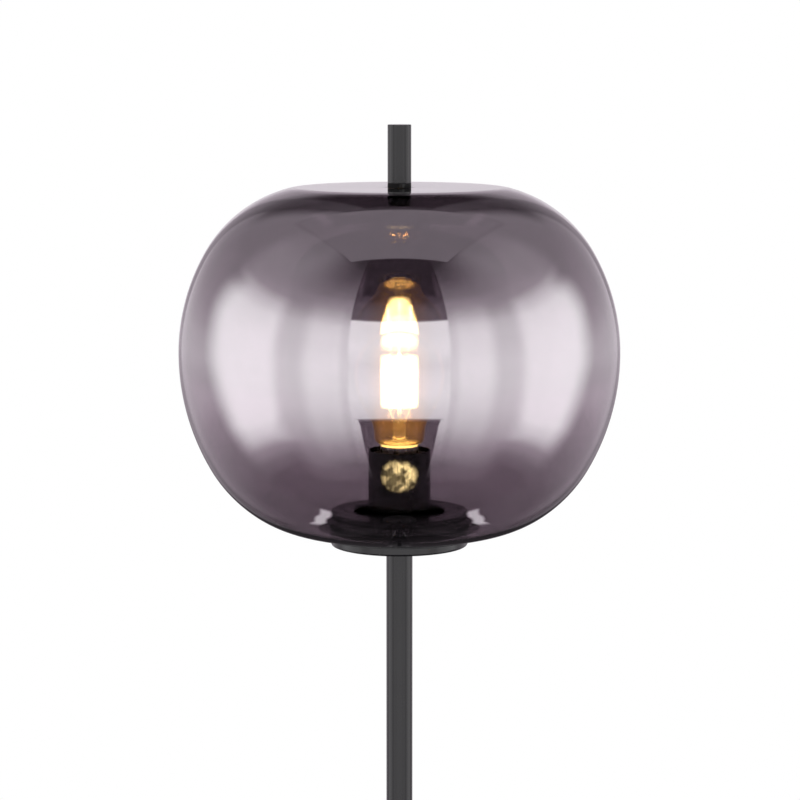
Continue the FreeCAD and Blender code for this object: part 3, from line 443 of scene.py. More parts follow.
def smoked_glass(settings):
    """Smoked glass under a thin mirror film."""
    made, tree, shader, out = surface("smoked_glass", {
        "Transmission Weight": 1.0, "IOR": settings.mirror, "Roughness": 0.0})
    grain = effect(tree, "Grain", Size=0.004, Cloud_Size=0.05)
    deeper = tuple(0.93 * part for part in settings.smoke)
    smoke = tree.mix(grain["Cloud"], rgb(settings.smoke), rgb(deeper))
    tree.feed(shader.inputs["Base Color"], smoke)
    return made


def lit_bulb_glass(settings, low, high):
    """Clear bulb glass with glow painted on it as emission: a bright core in a wide amber halo, a lit outline
    and a lit foot.
    """
    made, tree, shader, out = surface("lit_bulb_glass", {
        "Transmission Weight": 1.0, "IOR": 1.5, "Roughness": 0.0,
        "Emission Strength": settings.core})
    grain = effect(tree, "Grain", Size=0.0012, Cloud_Size=0.012)
    place_on = tree.add("SeparateXYZ", {"Vector": tree.add("TexCoord").outputs["Object"]}).outputs
    height = place_on["Z"]
    clear = tree.mix(grain["Cloud"], (1.0, 1.0, 1.0, 1.0), (0.97, 0.985, 0.98, 1.0))
    squares = [tree.math("MULTIPLY", place_on[axis], place_on[axis]) for axis in ("X", "Y")]
    level = tree.add("VectorMath", {0: tree.add("NewGeometry").outputs["Normal"], 1: (1.0, 1.0, 0.0)},
                     operation="MULTIPLY")
    across = tree.add("VectorMath", {0: level.outputs[0]}, operation="NORMALIZE")
    turned_away = tree.add("LayerWeight", {"Blend": 0.5, "Normal": across.outputs[0]}).outputs["Facing"]
    facing = tree.math("DIVIDE", tree.math("SUBTRACT", 1.0, turned_away), LEVEL_SIGHT)
    sideways = tree.math("SUBTRACT", 1.0, tree.math("MULTIPLY", facing, facing), clamp=True)
    aside = tree.math("SQRT", tree.math("MULTIPLY", tree.math("ADD", *squares), sideways))
    between = effect(tree, "Soft Window", Value=height, From=low + CORE_INSET, To=high - CORE_INSET,
                     Soft_From=CORE_SOFT, Soft_To=CORE_SOFT)["Mask"]
    core = tree.math("MULTIPLY", tree.math("SUBTRACT", 1.0, tree.smooth(aside, *CORE_REACH)), between)
    around = effect(tree, "Soft Window", Value=height, From=low - HALO_BELOW, To=high + HALO_ABOVE,
                    Soft_From=HALO_SOFT[0], Soft_To=HALO_SOFT[1])["Mask"]
    near = tree.math("SUBTRACT", 1.0, tree.smooth(aside, *HALO_REACH))
    halo = tree.math("MULTIPLY", tree.math("MULTIPLY", near, near), around)
    cloudy = tree.math("MULTIPLY_ADD", grain["Cloud"], 0.4, 0.5)
    sparkle = tree.math("MULTIPLY_ADD", grain["Speckle"], 1.2, cloudy)
    halo = tree.math("MULTIPLY", tree.math("MULTIPLY", halo, sparkle), settings.halo)
    # Painted glow tint: the glass's colour turns amber round the painted halo and below the strands.
    beside = tree.math("SUBTRACT", 1.0, tree.smooth(aside, *AMBER_REACH))
    halo_glow_tint = tree.math("MULTIPLY", tree.math("MULTIPLY", beside, around), sparkle)
    below = tree.math("SUBTRACT", 1.0, tree.smooth(height, low - AMBER_DROP, low))
    painted_glow_tint = tree.math("MINIMUM", tree.math("MAXIMUM", halo_glow_tint, below), 1.0)
    tree.feed(shader.inputs["Base Color"], tree.mix(painted_glow_tint, clear, rgb(settings.amber)))
    # Painted glow: a lit outline where the glass turns away, and a lit foot by the cap.
    outline = tree.smooth(tree.add("LayerWeight", {"Blend": 0.5}).outputs["Facing"], *RIM_EDGE)
    halo = tree.math("MULTIPLY_ADD", outline, settings.rim, halo)
    foot_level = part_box("screw_cap")[1].z
    foot = tree.math("SUBTRACT", 1.0, tree.smooth(height, foot_level, foot_level + FOOT_REACH))
    core = tree.math("MULTIPLY_ADD", foot, settings.foot, core)
    bright = tree.add("VectorMath", {0: rgb(settings.colour)[:3], "Scale": core}, operation="SCALE")
    amber = tree.add("VectorMath", {0: rgb(settings.halo_colour)[:3], "Scale": halo}, operation="SCALE")
    light = tree.add("VectorMath", {0: bright.outputs[0], 1: amber.outputs[0]}, operation="ADD")
    outward = tree.math("SUBTRACT", 1.0, tree.add("NewGeometry").outputs["Backfacing"])
    seen = tree.add("VectorMath", {0: light.outputs[0], "Scale": outward}, operation="SCALE")
    tree.feed(shader.inputs["Emission Color"], seen.outputs[0])
    return made


def lit_stem_glass(settings, low, high):
    """Glass mount with glow painted on it as emission for the strands' light: brightest between them and at
    its flare.
    """
    made, tree, shader, out = surface("lit_stem_glass", {
        "Transmission Weight": 1.0, "IOR": 1.5, "Roughness": 0.1,
        "Emission Strength": settings.stem})
    grain = effect(tree, "Grain", Size=0.001, Cloud_Size=0.003)
    height = tree.add("SeparateXYZ", {"Vector": tree.add("TexCoord").outputs["Object"]}).outputs["Z"]
    between = tree.smooth(height, low - 0.008, low)
    flare_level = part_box("bulb_stem")[0].z + STEM_FLARE
    flare = tree.math("SUBTRACT", 1.0, tree.smooth(height, flare_level, flare_level + 0.004))
    lit = tree.math("MAXIMUM", between, tree.math("MULTIPLY", flare, 0.2))
    lit = tree.math("MULTIPLY", tree.math("MAXIMUM", lit, 0.03),
                    tree.math("MULTIPLY_ADD", grain["Cloud"], 0.8, 0.4))
    tree.feed(shader.inputs["Base Color"],
              tree.mix(grain["Cloud"], (1.0, 0.99, 0.96, 1.0), (0.95, 0.96, 0.95, 1.0)))
    tree.feed(shader.inputs["Emission Color"],
              tree.mix(lit, (0.0, 0.0, 0.0, 1.0), rgb(settings.colour)))
    return made


def lit_strand(settings, low, high):
    """Phosphor coat over a row of chips, each a little brighter than the gaps between them."""
    made, tree, shader, out = surface("led_filament", {"Roughness": 0.5})
    place = tree.add("SeparateXYZ", {"Vector": tree.add("TexCoord").outputs["Object"]})
    along = tree.add("MapRange", {"Value": place.outputs["Z"], "From Min": low, "From Max": high})
    wave = tree.math("SINE", tree.math("MULTIPLY", along.outputs[0], 2 * pi * STRAND_CHIPS))
    chips = tree.math("MULTIPLY_ADD", wave, 0.5, 0.5)
    grain = effect(tree, "Grain", Size=0.0003, Cloud_Size=0.01)
    glow = settings.colour
    paler = tuple(part + (1.0 - part) * 0.35 for part in glow)
    tree.feed(shader.inputs["Emission Color"], tree.mix(chips, rgb(glow), rgb(paler)))
    tree.feed(shader.inputs["Base Color"],
              tree.mix(grain["Cloud"], (0.85, 0.55, 0.08, 1.0), (0.9, 0.65, 0.15, 1.0)))
    shader.inputs["Emission Strength"].default_value = settings.strength
    return made


def powder_coat(settings):
    """Black powder coat: fine orange peel, paler at worn edges, a breath of dust on top."""
    made, tree, shader, out = surface("black_powder_coat", {"IOR": 1.36})
    grain = effect(tree, "Grain", Size=0.0007, Cloud_Size=0.05)
    wear = effect(tree, "Edge Wear", Amount=0.35, Patch_Size=0.006)["Mask"]
    dust = effect(tree, "Dust", Amount=0.10, Fleck_Size=0.0015)["Mask"]
    base = rgb(settings.powder_coat)
    lighter = rgb(tuple(1.25 * part for part in settings.powder_coat))
    colour = tree.mix(grain["Cloud"], base, lighter)
    colour = tree.mix(wear, colour, (0.06, 0.06, 0.063, 1.0))
    tree.feed(shader.inputs["Base Color"], tree.mix(dust, colour, (0.30, 0.29, 0.28, 1.0)))
    rough = tree.math("MULTIPLY_ADD", grain["Speckle"], 0.04, 0.14)
    tree.feed(shader.inputs["Roughness"], tree.math("ADD", rough, dust))
    bump(tree, shader, grain["Height"], 0.03, 0.0002)
    return made


def enamel_coat(name, settings):
    """Black gloss enamel, paler where its edges are worn."""
    made, tree, shader, out = surface(name, {"IOR": 1.45, "Coat Roughness": 0.02})
    grain = effect(tree, "Grain", Size=0.0025, Cloud_Size=0.015)
    wear = effect(tree, "Edge Wear", Amount=0.4, Patch_Size=0.004)["Mask"]
    tree.feed(shader.inputs["Base Color"], tree.mix(wear, rgb(settings.enamel), (0.05, 0.05, 0.05, 1.0)))
    tree.feed(shader.inputs["Roughness"], tree.math("MULTIPLY_ADD", grain["Cloud"], 0.02, 0.03))
    tree.feed(shader.inputs["Coat Weight"], tree.math("MULTIPLY_ADD", wear, -0.2, 0.25))
    bump(tree, shader, grain["Height"], 0.02, 0.0002)
    return made, tree, shader


def gloss_enamel(settings):
    made, tree, shader = enamel_coat("black_gloss_enamel", settings)
    return made


def lit_enamel(settings, glow):
    """The sleeve's enamel with the bulb's streaky reflection painted below its rim as emission."""
    made, tree, shader = enamel_coat("lit_gloss_enamel", settings)
    place_on = tree.add("TexCoord").outputs["Object"]
    height = tree.add("SeparateXYZ", {"Vector": place_on}).outputs["Z"]
    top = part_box("holder_sleeve")[1].z
    first, last = SHEEN_DROP
    turned_away = tree.add("LayerWeight", {"Blend": 0.5}).outputs["Facing"]
    away = tree.math("DIVIDE", tree.math("SUBTRACT", height, top - (first + last) / 2), (last - first) / 2)
    reach = tree.math("ADD", tree.math("DIVIDE", turned_away, SHEEN_EDGE), tree.math("MULTIPLY", away, away))
    drawn = tree.add("VectorMath", {0: place_on, 1: SHEEN_STREAKS}, operation="MULTIPLY")
    streaks = tree.add("TexNoise", {"Vector": drawn.outputs[0], "Scale": 1.0, "Detail": 3.0, "Roughness": 0.6})
    patches = tree.add("TexNoise", {"Vector": place_on, "Scale": SHEEN_PATCHES, "Detail": 2.0})
    ragged = tree.math("MULTIPLY_ADD", streaks.outputs[0], 0.8, reach)
    lit = tree.math("SUBTRACT", 1.0, tree.smooth(ragged, 0.7, 1.5))
    bright = tree.blend(tree.smooth(patches.outputs[0], 0.40, 0.58), 0.10, 1.0)
    drawn_out = tree.math("MULTIPLY_ADD", tree.smooth(streaks.outputs[0], 0.35, 0.60), 0.6, 0.4)
    share = tree.math("MULTIPLY", tree.math("MULTIPLY", lit, drawn_out), bright)
    tree.feed(shader.inputs["Emission Color"],
              tree.mix(share, (0.0, 0.0, 0.0, 1.0), rgb(glow.sheen_colour)))
    shader.inputs["Emission Strength"].default_value = glow.sheen
    return made


def plated(name, bright, dull, roughness, wear_amount=0.3, pitch=0.00025):
    """Bare or plated metal with tool marks, darker where it is handled less."""
    made, tree, shader, out = surface(name, {"Metallic": 1.0})
    grain = effect(tree, "Grain", Size=0.0008, Cloud_Size=0.006)
    turning = effect(tree, "Turning", Pitch=pitch, Waver=0.4)
    wear = effect(tree, "Edge Wear", Amount=wear_amount, Patch_Size=0.003)["Mask"]
    colour = tree.mix(grain["Cloud"], rgb(bright), rgb(dull))
    polished = rgb(tuple(min(1.0, 1.15 * part) for part in bright))
    tree.feed(shader.inputs["Base Color"], tree.mix(wear, colour, polished))
    rough = tree.math("MULTIPLY_ADD", grain["Cloud"], 0.15, roughness)
    tree.feed(shader.inputs["Roughness"], tree.math("MULTIPLY_ADD", turning["Shade"], 0.08, rough))
    bump(tree, shader, turning["Height"], 0.12, 0.0001)
    return made


def moulded(name, colour, roughness, grain_size, depth, ior=1.48, spots=(0.0, 0.0, 0.0), cloud=0.012):
    """Moulded plastic, rubber or insulation: skin grain, cloudy tone and scuffed edges."""
    made, tree, shader, out = surface(name, {"IOR": ior})
    grain = effect(tree, "Grain", Size=grain_size, Cloud_Size=cloud)
    wear = effect(tree, "Edge Wear", Amount=0.25, Patch_Size=0.004)["Mask"]
    dust = effect(tree, "Dust", Amount=0.15, Fleck_Size=0.001)["Mask"]
    lighter = rgb(tuple(min(1.0, 1.3 * part + 0.004) for part in colour))
    flecked = rgb(tuple(a + b for a, b in zip(colour, spots)))
    base = tree.mix(grain["Cloud"], rgb(colour), lighter)
    base = tree.mix(grain["Speckle"], base, flecked)
    base = tree.mix(wear, base, (0.18, 0.18, 0.18, 1.0))
    tree.feed(shader.inputs["Base Color"], tree.mix(dust, base, (0.35, 0.34, 0.33, 1.0)))
    tree.feed(shader.inputs["Roughness"], tree.math("MULTIPLY_ADD", grain["Cloud"], 0.12, roughness))
    bump(tree, shader, grain["Height"], depth, 0.0002)
    return made


def cast_iron():
    """Cast iron with a dark primer over a sandy skin."""
    made, tree, shader, out = surface("cast_iron", {"Metallic": 0.0, "IOR": 1.6})
    grain = effect(tree, "Grain", Size=0.0018, Cloud_Size=0.03)
    wear = effect(tree, "Edge Wear", Amount=0.7, Patch_Size=0.008)["Mask"]
    base = tree.mix(grain["Cloud"], (0.035, 0.036, 0.038, 1.0), (0.060, 0.058, 0.056, 1.0))
    rust = tree.mix(grain["Speckle"], base, (0.12, 0.055, 0.03, 1.0))
    tree.feed(shader.inputs["Base Color"], tree.mix(wear, rust, (0.20, 0.19, 0.18, 1.0)))
    tree.feed(shader.inputs["Roughness"], tree.math("MULTIPLY_ADD", grain["Cloud"], 0.2, 0.62))
    bump(tree, shader, grain["Height"], 0.8, 0.0006)
    return made


def felt():
    """Pressed wool felt: crossing fibres of two tones."""
    made, tree, shader, out = surface("grey_felt", {"Roughness": 0.95, "Sheen Weight": 0.3})
    place = tree.add("TexCoord").outputs["Object"]
    strands = []
    for turn, stretch in ((20.0, (260.0, 2600.0, 900.0)), (-55.0, (2600.0, 300.0, 900.0))):
        rotation = (0.0, 0.0, radians(turn))
        mapping = tree.add("Mapping", {"Vector": place, "Rotation": rotation, "Scale": stretch})
        noise = tree.add("TexNoise", {"Vector": mapping.outputs[0], "Scale": 1.0, "Detail": 3.0})
        strands.append(noise.outputs[0])
    fibres = tree.math("MAXIMUM", *strands)
    grain = effect(tree, "Grain", Size=0.0012, Cloud_Size=0.02)
    tone = tree.smooth(fibres, 0.45, 0.75)
    colour = tree.mix(tone, (0.075, 0.075, 0.08, 1.0), (0.20, 0.20, 0.21, 1.0))
    tree.feed(shader.inputs["Base Color"], tree.mix(grain["Speckle"], colour, (0.28, 0.28, 0.29, 1.0)))
    bump(tree, shader, fibres, 0.9, 0.0005)
    return made


def circuit_board():
    """Solder mask over copper tracks, with pale square pads."""
    made, tree, shader, out = surface("circuit_board", {"IOR": 1.5})
    place = tree.add("TexCoord").outputs["Object"]
    pads = tree.add("TexBrick", {"Vector": place, "Scale": 420.0, "Mortar Size": 0.012})
    grain = effect(tree, "Grain", Size=0.0005, Cloud_Size=0.004)
    tracks = tree.smooth(grain["Cloud"], 0.45, 0.55)
    mask = tree.mix(tracks, (0.010, 0.060, 0.022, 1.0), (0.020, 0.115, 0.040, 1.0))
    tree.feed(shader.inputs["Base Color"], tree.mix(pads.outputs["Fac"], mask, (0.55, 0.55, 0.50, 1.0)))
    tree.feed(shader.inputs["Roughness"], tree.math("MULTIPLY_ADD", pads.outputs["Fac"], -0.1, 0.42))
    bump(tree, shader, pads.outputs["Fac"], 0.3, 0.0002)
    return made


def finish_of(slot, lamp):
    """The material of one of the record's slots, made at its first use."""
    if slot in bpy.data.materials and bpy.data.materials[slot].get("finished"):
        return bpy.data.materials[slot]
    for imported in [m for m in bpy.data.materials if m.name == slot]:
        imported.name = "frame_" + slot
    strand_low, strand_high = (corner.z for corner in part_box("filaments"))
    makers = {
        "smoked_glass": lambda: smoked_glass(lamp.glass),
        "lit_bulb_glass": lambda: lit_bulb_glass(lamp.glow, strand_low, strand_high),
        "lit_stem_glass": lambda: lit_stem_glass(lamp.glow, strand_low, strand_high),
        "led_filament": lambda: lit_strand(lamp.glow, strand_low, strand_high),
        "black_powder_coat": lambda: powder_coat(lamp.metal),
        "black_gloss_enamel": lambda: gloss_enamel(lamp.metal),
        "lit_gloss_enamel": lambda: lit_enamel(lamp.metal, lamp.glow),
        "nickel_wire": lambda: plated(slot, (0.62, 0.60, 0.57), (0.48, 0.46, 0.43), 0.22),
        "nickel_plated_cap": lambda: plated(slot, (0.70, 0.67, 0.62), (0.58, 0.55, 0.50), 0.16),
        "solder": lambda: plated(slot, (0.66, 0.66, 0.67), (0.50, 0.50, 0.52), 0.30, 0.1, 0.002),
        "contact_brass": lambda: plated(slot, (0.72, 0.52, 0.24), (0.55, 0.38, 0.16), 0.24),
        "zinc_plated_steel": lambda: plated(slot, (0.60, 0.61, 0.62), (0.46, 0.47, 0.50), 0.28),
        "circuit_board": circuit_board,
        "cast_iron": cast_iron,
        "grey_felt": felt,
        "black_phenolic": lambda: moulded(slot, (0.012, 0.011, 0.010), 0.30, 0.0012, 0.15),
        "black_silicone": lambda: moulded(slot, (0.004, 0.004, 0.004), 0.62, 0.0006, 0.20, 1.25),
        "black_nylon": lambda: moulded(slot, (0.016, 0.016, 0.017), 0.48, 0.0007, 0.35),
        "black_pvc": lambda: moulded(slot, (0.020, 0.020, 0.021), 0.42, 0.0015, 0.20),
        "core_insulation": lambda: moulded(slot, (0.10, 0.24, 0.55), 0.38, 0.0010, 0.10),
    }
    made = makers[slot]()
    made["finished"] = True
    return made


# Finishes with light painted on them, for the nodes that the strands light up: painted glow on the bulb's
# glass and its mount, a painted reflection on the sleeve; every other node has its slot's finish.
LIT_FINISHES = {"bulb_stem": "lit_stem_glass", "bulb_envelope": "lit_bulb_glass",
                "holder_sleeve": "lit_gloss_enamel"}


def dress(names, lamp):
    """Gives CAD nodes the finish of their slot."""
    for name in names:
        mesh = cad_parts[name].data
        mesh.materials.clear()
        mesh.materials.append(finish_of(LIT_FINISHES.get(name, SLOTS[name]), lamp))


# ---------------------------------------------------------------- turned outlines
def along_arcs(start, arcs, inset=0.0, step=2.0):
    """Points (radius, height) along a chain of tangent arcs that starts with a level normal."""
    radius, height = start
    normal = 0.0
    points = []
    for bend, end in arcs:
        centre = (radius - bend * cos(radians(normal)), height - bend * sin(radians(normal)))
        count = max(2, round(abs(end - normal) / step))
        for index in range(count + 1):
            angle = radians(normal + (end - normal) * index / count)
            reach = bend - inset
            points.append((centre[0] + reach * cos(angle), centre[1] + reach * sin(angle)))
        radius = centre[0] + bend * cos(radians(end))
        height = centre[1] + bend * sin(radians(end))
        normal = end
    return points


def thinned(points, gap=1e-6):
    """The points without the ones that repeat their neighbour."""
    kept = [points[0]]
    for point in points[1:]:
        if (Vector(point) - Vector(kept[-1])).length > gap:
            kept.append(point)
    return kept


def turned(name, outline, steps, closed=True):
    """Smooth mesh of an outline of (radius, height) points turned about Z."""
    mesh = bmesh.new()
    rings = []
    for radius, height in outline:
        if radius < 1e-6:
            rings.append([mesh.verts.new((0.0, 0.0, height))] * steps)
            continue
        ring = []
        for step in range(steps):
            angle = 2 * pi * step / steps
            ring.append(mesh.verts.new((radius * cos(angle), radius * sin(angle), height)))
        rings.append(ring)
    pairs = list(zip(rings, rings[1:]))
    if closed:
        pairs.append((rings[-1], rings[0]))
    for first, second in pairs:
        for step in range(steps):
            onward = (step + 1) % steps
            corners = dict.fromkeys((first[step], first[onward], second[onward], second[step]))
            if len(corners) > 2:
                mesh.faces.new(corners).smooth = True
    bmesh.ops.recalc_face_normals(mesh, faces=mesh.faces)
    data = bpy.data.meshes.new(name)
    mesh.to_mesh(data)
    mesh.free()
    made = bpy.data.objects.new(name, data)
    bpy.context.scene.collection.objects.link(made)
    return made


def place(piece, body, slot, lamp, *stood_for):
    """Finishes a piece: its body, its slot's material and the nodes that it stands for."""
    finish = LIT_FINISHES.get(stood_for[0], slot) if stood_for else slot
    piece.data.materials.append(finish_of(finish, lamp))
    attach(piece, body)
    if stood_for:
        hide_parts(*stood_for)


def lamp_settings(context):
    return context.scene.globe_lamp


# ---------------------------------------------------------------- operators
class LAMP_OT_studio(Operator):
    """Camera, floor and the surroundings that light the lamp and show in its glass"""
    bl_idname = "lamp.studio"
    bl_label = "Studio"

    def execute(self, context):
        settings = lamp_settings(context).studio
        context.scene.view_settings.view_transform = "Standard"
        self.camera(context)
        self.floor(settings)
        self.surroundings(context, settings)
        return {"FINISHED"}

    def camera(self, context):
        data = bpy.data.cameras.new("studio_camera")
        data.lens = STUDIO_LENS
        made = bpy.data.objects.new("studio_camera", data)
        made.location = STUDIO_EYE
        made.rotation_euler = (radians(STUDIO_TILT), 0.0, 0.0)
        context.scene.collection.objects.link(made)
        context.scene.camera = made

    def floor(self, settings):
        reach = settings.floor_radius
        rings = [(reach * share, 0.0) for share in (0.0, 0.05, 0.1, 0.2, 0.35, 0.5, 0.75, 1.0)]
        made = turned("studio_floor", rings, 96, closed=False)
        paint, tree, shader, out = surface("studio_floor", {
            "Base Color": rgb(settings.floor), "Roughness": 0.9})
        place_in_scene = tree.add("SeparateXYZ", {"Vector": tree.add("TexCoord").outputs["Object"]})
        squares = []
        for axis in (0, 1):
            length = tree.math("ABSOLUTE", place_in_scene.outputs[axis])
            squares.append(tree.math("POWER", length, 2.0))
        distance = tree.math("SQRT", tree.math("ADD", *squares))
        fade = tree.smooth(distance, 0.3 * reach, 0.95 * reach)
        white = tree.add("Emission", {"Strength": 1.0})
        mixed = tree.add("MixShader", {"Fac": fade})
        tree.feed(mixed.inputs[1], shader.outputs[0])
        tree.feed(mixed.inputs[2], white.outputs[0])
        reflected = tree.math("GREATER_THAN", tree.add("LightPath").outputs["Glossy Depth"], 0.5)
        seen = tree.add("MixShader", {"Fac": reflected})
        tree.feed(seen.inputs[1], mixed.outputs[0])
        tree.feed(seen.inputs[2], tree.add("BsdfTransparent").outputs[0])
        tree.feed(out.inputs["Surface"], seen.outputs[0])
        made.data.materials.append(paint)
        made.visible_glossy = False

    def surroundings(self, context, settings):
        """White for the camera and through glass; elsewhere a studio of soft light panels."""
        world = bpy.data.worlds.new("studio")
        world.use_nodes = True
        context.scene.world = world
        tree = Tree(world.node_tree)
        heading = tree.add("SeparateXYZ", {"Vector": tree.add("TexCoord").outputs["Generated"]})
        rise = tree.math("MULTIPLY", tree.math("ARCSINE", heading.outputs["Z"]), 180 / pi)
        side = tree.math("ABSOLUTE", heading.outputs["X"])
        ahead = tree.math("MULTIPLY", heading.outputs["Y"], -1.0)
        turn = tree.math("MULTIPLY", tree.math("ARCTAN2", side, ahead), 180 / pi)
        edges = {name: tree.ramp(rise, stops, 180.0) for name, stops in PANEL_EDGES.items()}
        profiles = {name: tree.ramp(rise, stops) for name, stops in PANEL_PROFILES.items()}
        level = profiles["back sides"]
        for name, (first, last, soft_first, soft_last) in PANEL_WINDOWS.items():
            window = effect(tree, "Soft Window", Value=turn, From=edges.get(first, first),
                            To=edges.get(last, last), Soft_From=edges.get(soft_first, soft_first),
                            Soft_To=soft_last)["Mask"]
            level = tree.blend(window, level, profiles[name])
        low = tree.math("SUBTRACT", 1.0, tree.smooth(rise, *SHADE_TOP))
        for (first, last, soft_first, soft_last), share in SHADED:
            window = effect(tree, "Soft Window", Value=turn, From=first, To=last,
                            Soft_From=soft_first, Soft_To=soft_last)["Mask"]
            level = tree.math("MULTIPLY", level, tree.blend(tree.math("MULTIPLY", window, low), 1.0, share))
        level = tree.math("ADD", level, self.low_strip(tree, rise, turn))
        level = self.ceiling(tree, heading, level)
        path = tree.add("LightPath").outputs
        bounced = tree.math("ADD", path["Glossy Depth"], path["Diffuse Depth"])
        straight = tree.math("LESS_THAN", bounced, 0.5)
        through = tree.math("MULTIPLY", path["Is Transmission Ray"], straight)
        onto = tree.math("GREATER_THAN", path["Diffuse Depth"], 0.5)
        strength = tree.math("MULTIPLY", level, tree.blend(onto, 1.0, settings.light))
        backdrop = tree.blend(tree.smooth(rise, *BACKDROP_FOOT), 1.0, BACKDROP_LEVEL)
        strength = tree.blend(through, strength, backdrop)
        strength = tree.blend(path["Is Camera Ray"], strength, 1.0)
        pale = tree.smooth(strength, 0.3, 1.4)
        tint = tree.mix(pale, (1.04, 0.93, 1.03, 1.0), (1.005, 0.985, 1.01, 1.0))
        tint = tree.mix(path["Is Camera Ray"], tint, (1.0, 1.0, 1.0, 1.0))
        light = tree.add("Background", {"Color": tint, "Strength": strength})
        tree.add("OutputWorld", {"Surface": light.outputs[0]})

    def low_strip(self, tree, rise, turn):
        """Two narrow strips low behind the lamp, which rise as they go back."""
        depth = tree.ramp(turn, LOW_STRIP_DEPTH, 180.0, (0.0, 180.0))
        across = effect(tree, "Soft Window", Value=tree.math("ADD", rise, depth),
                        From=-LOW_STRIP_HALF, To=LOW_STRIP_HALF,
                        Soft_From=LOW_STRIP_SOFT, Soft_To=LOW_STRIP_SOFT)["Mask"]
        first, last = LOW_STRIP_TURNS
        along = effect(tree, "Soft Window", Value=turn, From=first, To=last,
                       Soft_From=LOW_STRIP_FADE, Soft_To=LOW_STRIP_FADE)["Mask"]
        return tree.math("MULTIPLY", tree.math("MULTIPLY", across, along), LOW_STRIP_LEVEL)

    def ceiling(self, tree, heading, level):
        """A square panel overhead with a dark seam round it."""
        upward = tree.math("MAXIMUM", heading.outputs["Z"], 0.01)
        across = tree.math("DIVIDE", tree.math("ABSOLUTE", heading.outputs["X"]), upward)
        along = tree.math("DIVIDE", heading.outputs["Y"], upward)
        away = tree.math("ABSOLUTE", tree.math("SUBTRACT", along, CEILING_SHIFT))
        taper = tree.math("MULTIPLY_ADD", along, *CEILING_TAPER)
        reach = tree.math("MAXIMUM", tree.math("DIVIDE", across, taper), away)
        panel = tree.math("SUBTRACT", 1.0, tree.smooth(reach, CEILING_HALF - 0.01, CEILING_HALF + 0.01))
        seam = effect(tree, "Soft Window", Value=reach, From=CEILING_HALF, To=CEILING_HALF + 0.03,
                      Soft_From=0.01, Soft_To=0.03)["Mask"]
        level = tree.math("MULTIPLY", level, tree.blend(seam, 1.0, 0.8))
        return tree.blend(panel, level, CEILING_LEVEL)


class LAMP_OT_globe(Operator):
    """Smoked glass globe with its nearly flat top, the hole in it and the rounded mouth"""
    bl_idname = "lamp.globe"
    bl_label = "Globe"

    def execute(self, context):
        lamp = lamp_settings(context)
        wall = lamp.glass.globe_wall
        low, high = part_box("glass_globe")
        radius = high.x
        level = high.z - max(z for r, z in along_arcs((radius, 0.0), GLOBE_UPPER_ARCS, step=0.5))
        start = (radius, level)
        upper = along_arcs(start, GLOBE_UPPER_ARCS)
        lower = along_arcs(start, GLOBE_LOWER_ARCS)
        upper_inside = along_arcs(start, GLOBE_UPPER_ARCS, wall)
        lower_inside = along_arcs(start, GLOBE_LOWER_ARCS, wall)
        top = upper[-1][1]
        seat = lower[-1][1]
        hole = [(STEM_HOLE_RADIUS, top), (STEM_HOLE_RADIUS, top - wall)]
        lip_centre = (MOUTH_RADIUS + wall / 2, seat + wall / 2)
        lip = []
        for index in range(9):
            angle = radians(-90 - 180 * index / 8)
            lip.append((lip_centre[0] + wall / 2 * cos(angle), lip_centre[1] + wall / 2 * sin(angle)))
        outline = lower[::-1] + upper[1:] + hole + upper_inside[::-1] + lower_inside[1:] + lip[::-1]
        piece = turned("globe_glass", thinned(outline), lamp.glass.rounds)
        place(piece, "shade", "smoked_glass", lamp, "glass_globe")
        return {"FINISHED"}


class LAMP_OT_bulb(Operator):
    """Clear bulb glass with painted glow, and the lit strands inside it"""
    bl_idname = "lamp.bulb"
    bl_label = "Bulb"

    def execute(self, context):
        lamp = lamp_settings(context)
        low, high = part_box("bulb_envelope")
        radius = high.x
        centre = high.z - radius
        self.envelope(lamp, radius, centre, low.z)
        self.strands(lamp, centre)
        return {"FINISHED"}

    def envelope(self, lamp, radius, centre, bottom):
        wall = lamp.glass.bulb_wall
        dome = ((radius, 90.0),)
        start = (radius, centre)
        outside = along_arcs(start, BULB_LOWER_ARCS)[::-1] + along_arcs(start, dome)[1:]
        inside = along_arcs(start, BULB_LOWER_ARCS, wall)[::-1] + along_arcs(start, dome, wall)[1:]
        neck = outside[0][0]
        outline = [(neck, bottom)] + outside + inside[::-1]
        outline += [(neck - wall, inside[0][1]), (neck - wall, bottom)]
        piece = turned("bulb_glass", thinned(outline), 160)
        place(piece, "bulb", "clear_glass", lamp, "bulb_envelope")

    def strands(self, lamp, centre):
        """Coated sticks with rounded ends."""
        radius = lamp.glow.strand_radius
        sticks = bmesh.new()
        for index in range(STRAND_COUNT):
            angle = 2 * pi * (index + 0.5) / STRAND_COUNT
            foot, head = (Vector((r * cos(angle), r * sin(angle), centre + z))
                          for r, z in (STRAND_FOOT, STRAND_HEAD))
            capsule(sticks, foot, head, radius)
        piece = from_bmesh("led_strands", sticks)
        place(piece, "bulb", "led_filament", lamp, "filaments")


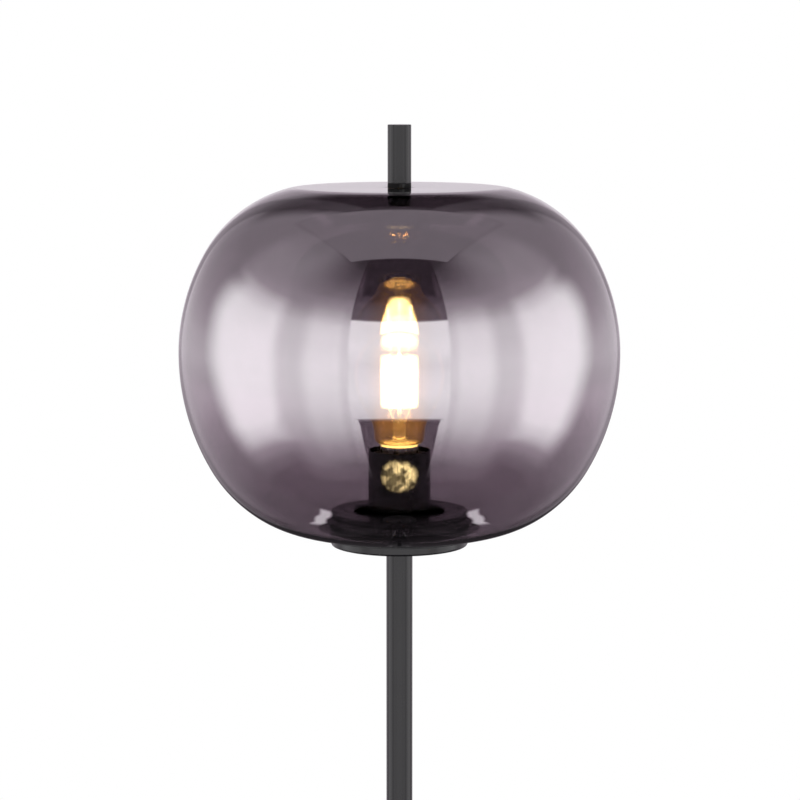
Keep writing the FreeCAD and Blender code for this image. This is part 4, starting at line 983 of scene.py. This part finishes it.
def capsule(mesh, start, end, radius, sides=24, cap_rings=5):
    """Adds a stick with rounded ends to a mesh, inside the length from start to end."""
    along = (end - start).normalized()
    across = along.orthogonal().normalized()
    third = along.cross(across)
    length = (end - start).length
    profile = []
    for index in range(cap_rings + 1):
        angle = pi / 2 * index / cap_rings
        profile.append((radius * (1 - cos(angle)), radius * sin(angle)))
    profile += [(length - place_along, r) for place_along, r in reversed(profile)]
    rings = []
    for distance, reach in profile:
        ring = []
        for side in range(sides):
            angle = 2 * pi * side / sides
            offset = (across * cos(angle) + third * sin(angle)) * max(reach, 1e-6)
            ring.append(mesh.verts.new(start + along * distance + offset))
        rings.append(ring)
    for first, second in zip(rings, rings[1:]):
        for side in range(sides):
            onward = (side + 1) % sides
            mesh.faces.new((first[side], first[onward], second[onward], second[side])).smooth = True
    mesh.faces.new(rings[0][::-1])
    mesh.faces.new(rings[-1])


def from_bmesh(name, mesh):
    bmesh.ops.recalc_face_normals(mesh, faces=mesh.faces)
    data = bpy.data.meshes.new(name)
    mesh.to_mesh(data)
    mesh.free()
    made = bpy.data.objects.new(name, data)
    bpy.context.scene.collection.objects.link(made)
    return made


class LAMP_OT_metal(Operator):
    """Finishes of the base, pole, carrier, lampholder and bulb parts that keep their solids"""
    bl_idname = "lamp.metal"
    bl_label = "Metal and small parts"

    def execute(self, context):
        shown = [name for name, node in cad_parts.items() if not node.hide_render]
        dress(shown, lamp_settings(context))
        return {"FINISHED"}


class LAMP_PT_panel(Panel):
    """Lists the steps and the settings of the lamp"""
    bl_idname = "LAMP_PT_panel"
    bl_label = "Globe Floor Lamp"
    bl_space_type = "VIEW_3D"
    bl_region_type = "UI"
    bl_category = "Lamp"

    def draw(self, context):
        lamp = lamp_settings(context)
        for operator in OPERATORS:
            self.layout.operator(operator.bl_idname)
        for settings in (lamp.glass, lamp.glow, lamp.metal, lamp.studio):
            box = self.layout.box()
            for name in settings.__annotations__:
                box.prop(settings, name)


SETTINGS = (GlassSettings, GlowSettings, MetalSettings, StudioSettings, LampSettings)
OPERATORS = (LAMP_OT_studio, LAMP_OT_globe, LAMP_OT_bulb, LAMP_OT_metal)
CLASSES = SETTINGS + OPERATORS + (LAMP_PT_panel,)


def register():
    for entry in CLASSES:
        bpy.utils.register_class(entry)
    bpy.types.Scene.globe_lamp = PointerProperty(type=LampSettings)


def unregister():
    del bpy.types.Scene.globe_lamp
    for entry in reversed(CLASSES):
        bpy.utils.unregister_class(entry)


def main():
    register()
    bpy.ops.lamp.studio()
    bpy.ops.lamp.globe()
    bpy.ops.lamp.bulb()
    bpy.ops.lamp.metal()


if __name__ == "__main__":
    main()
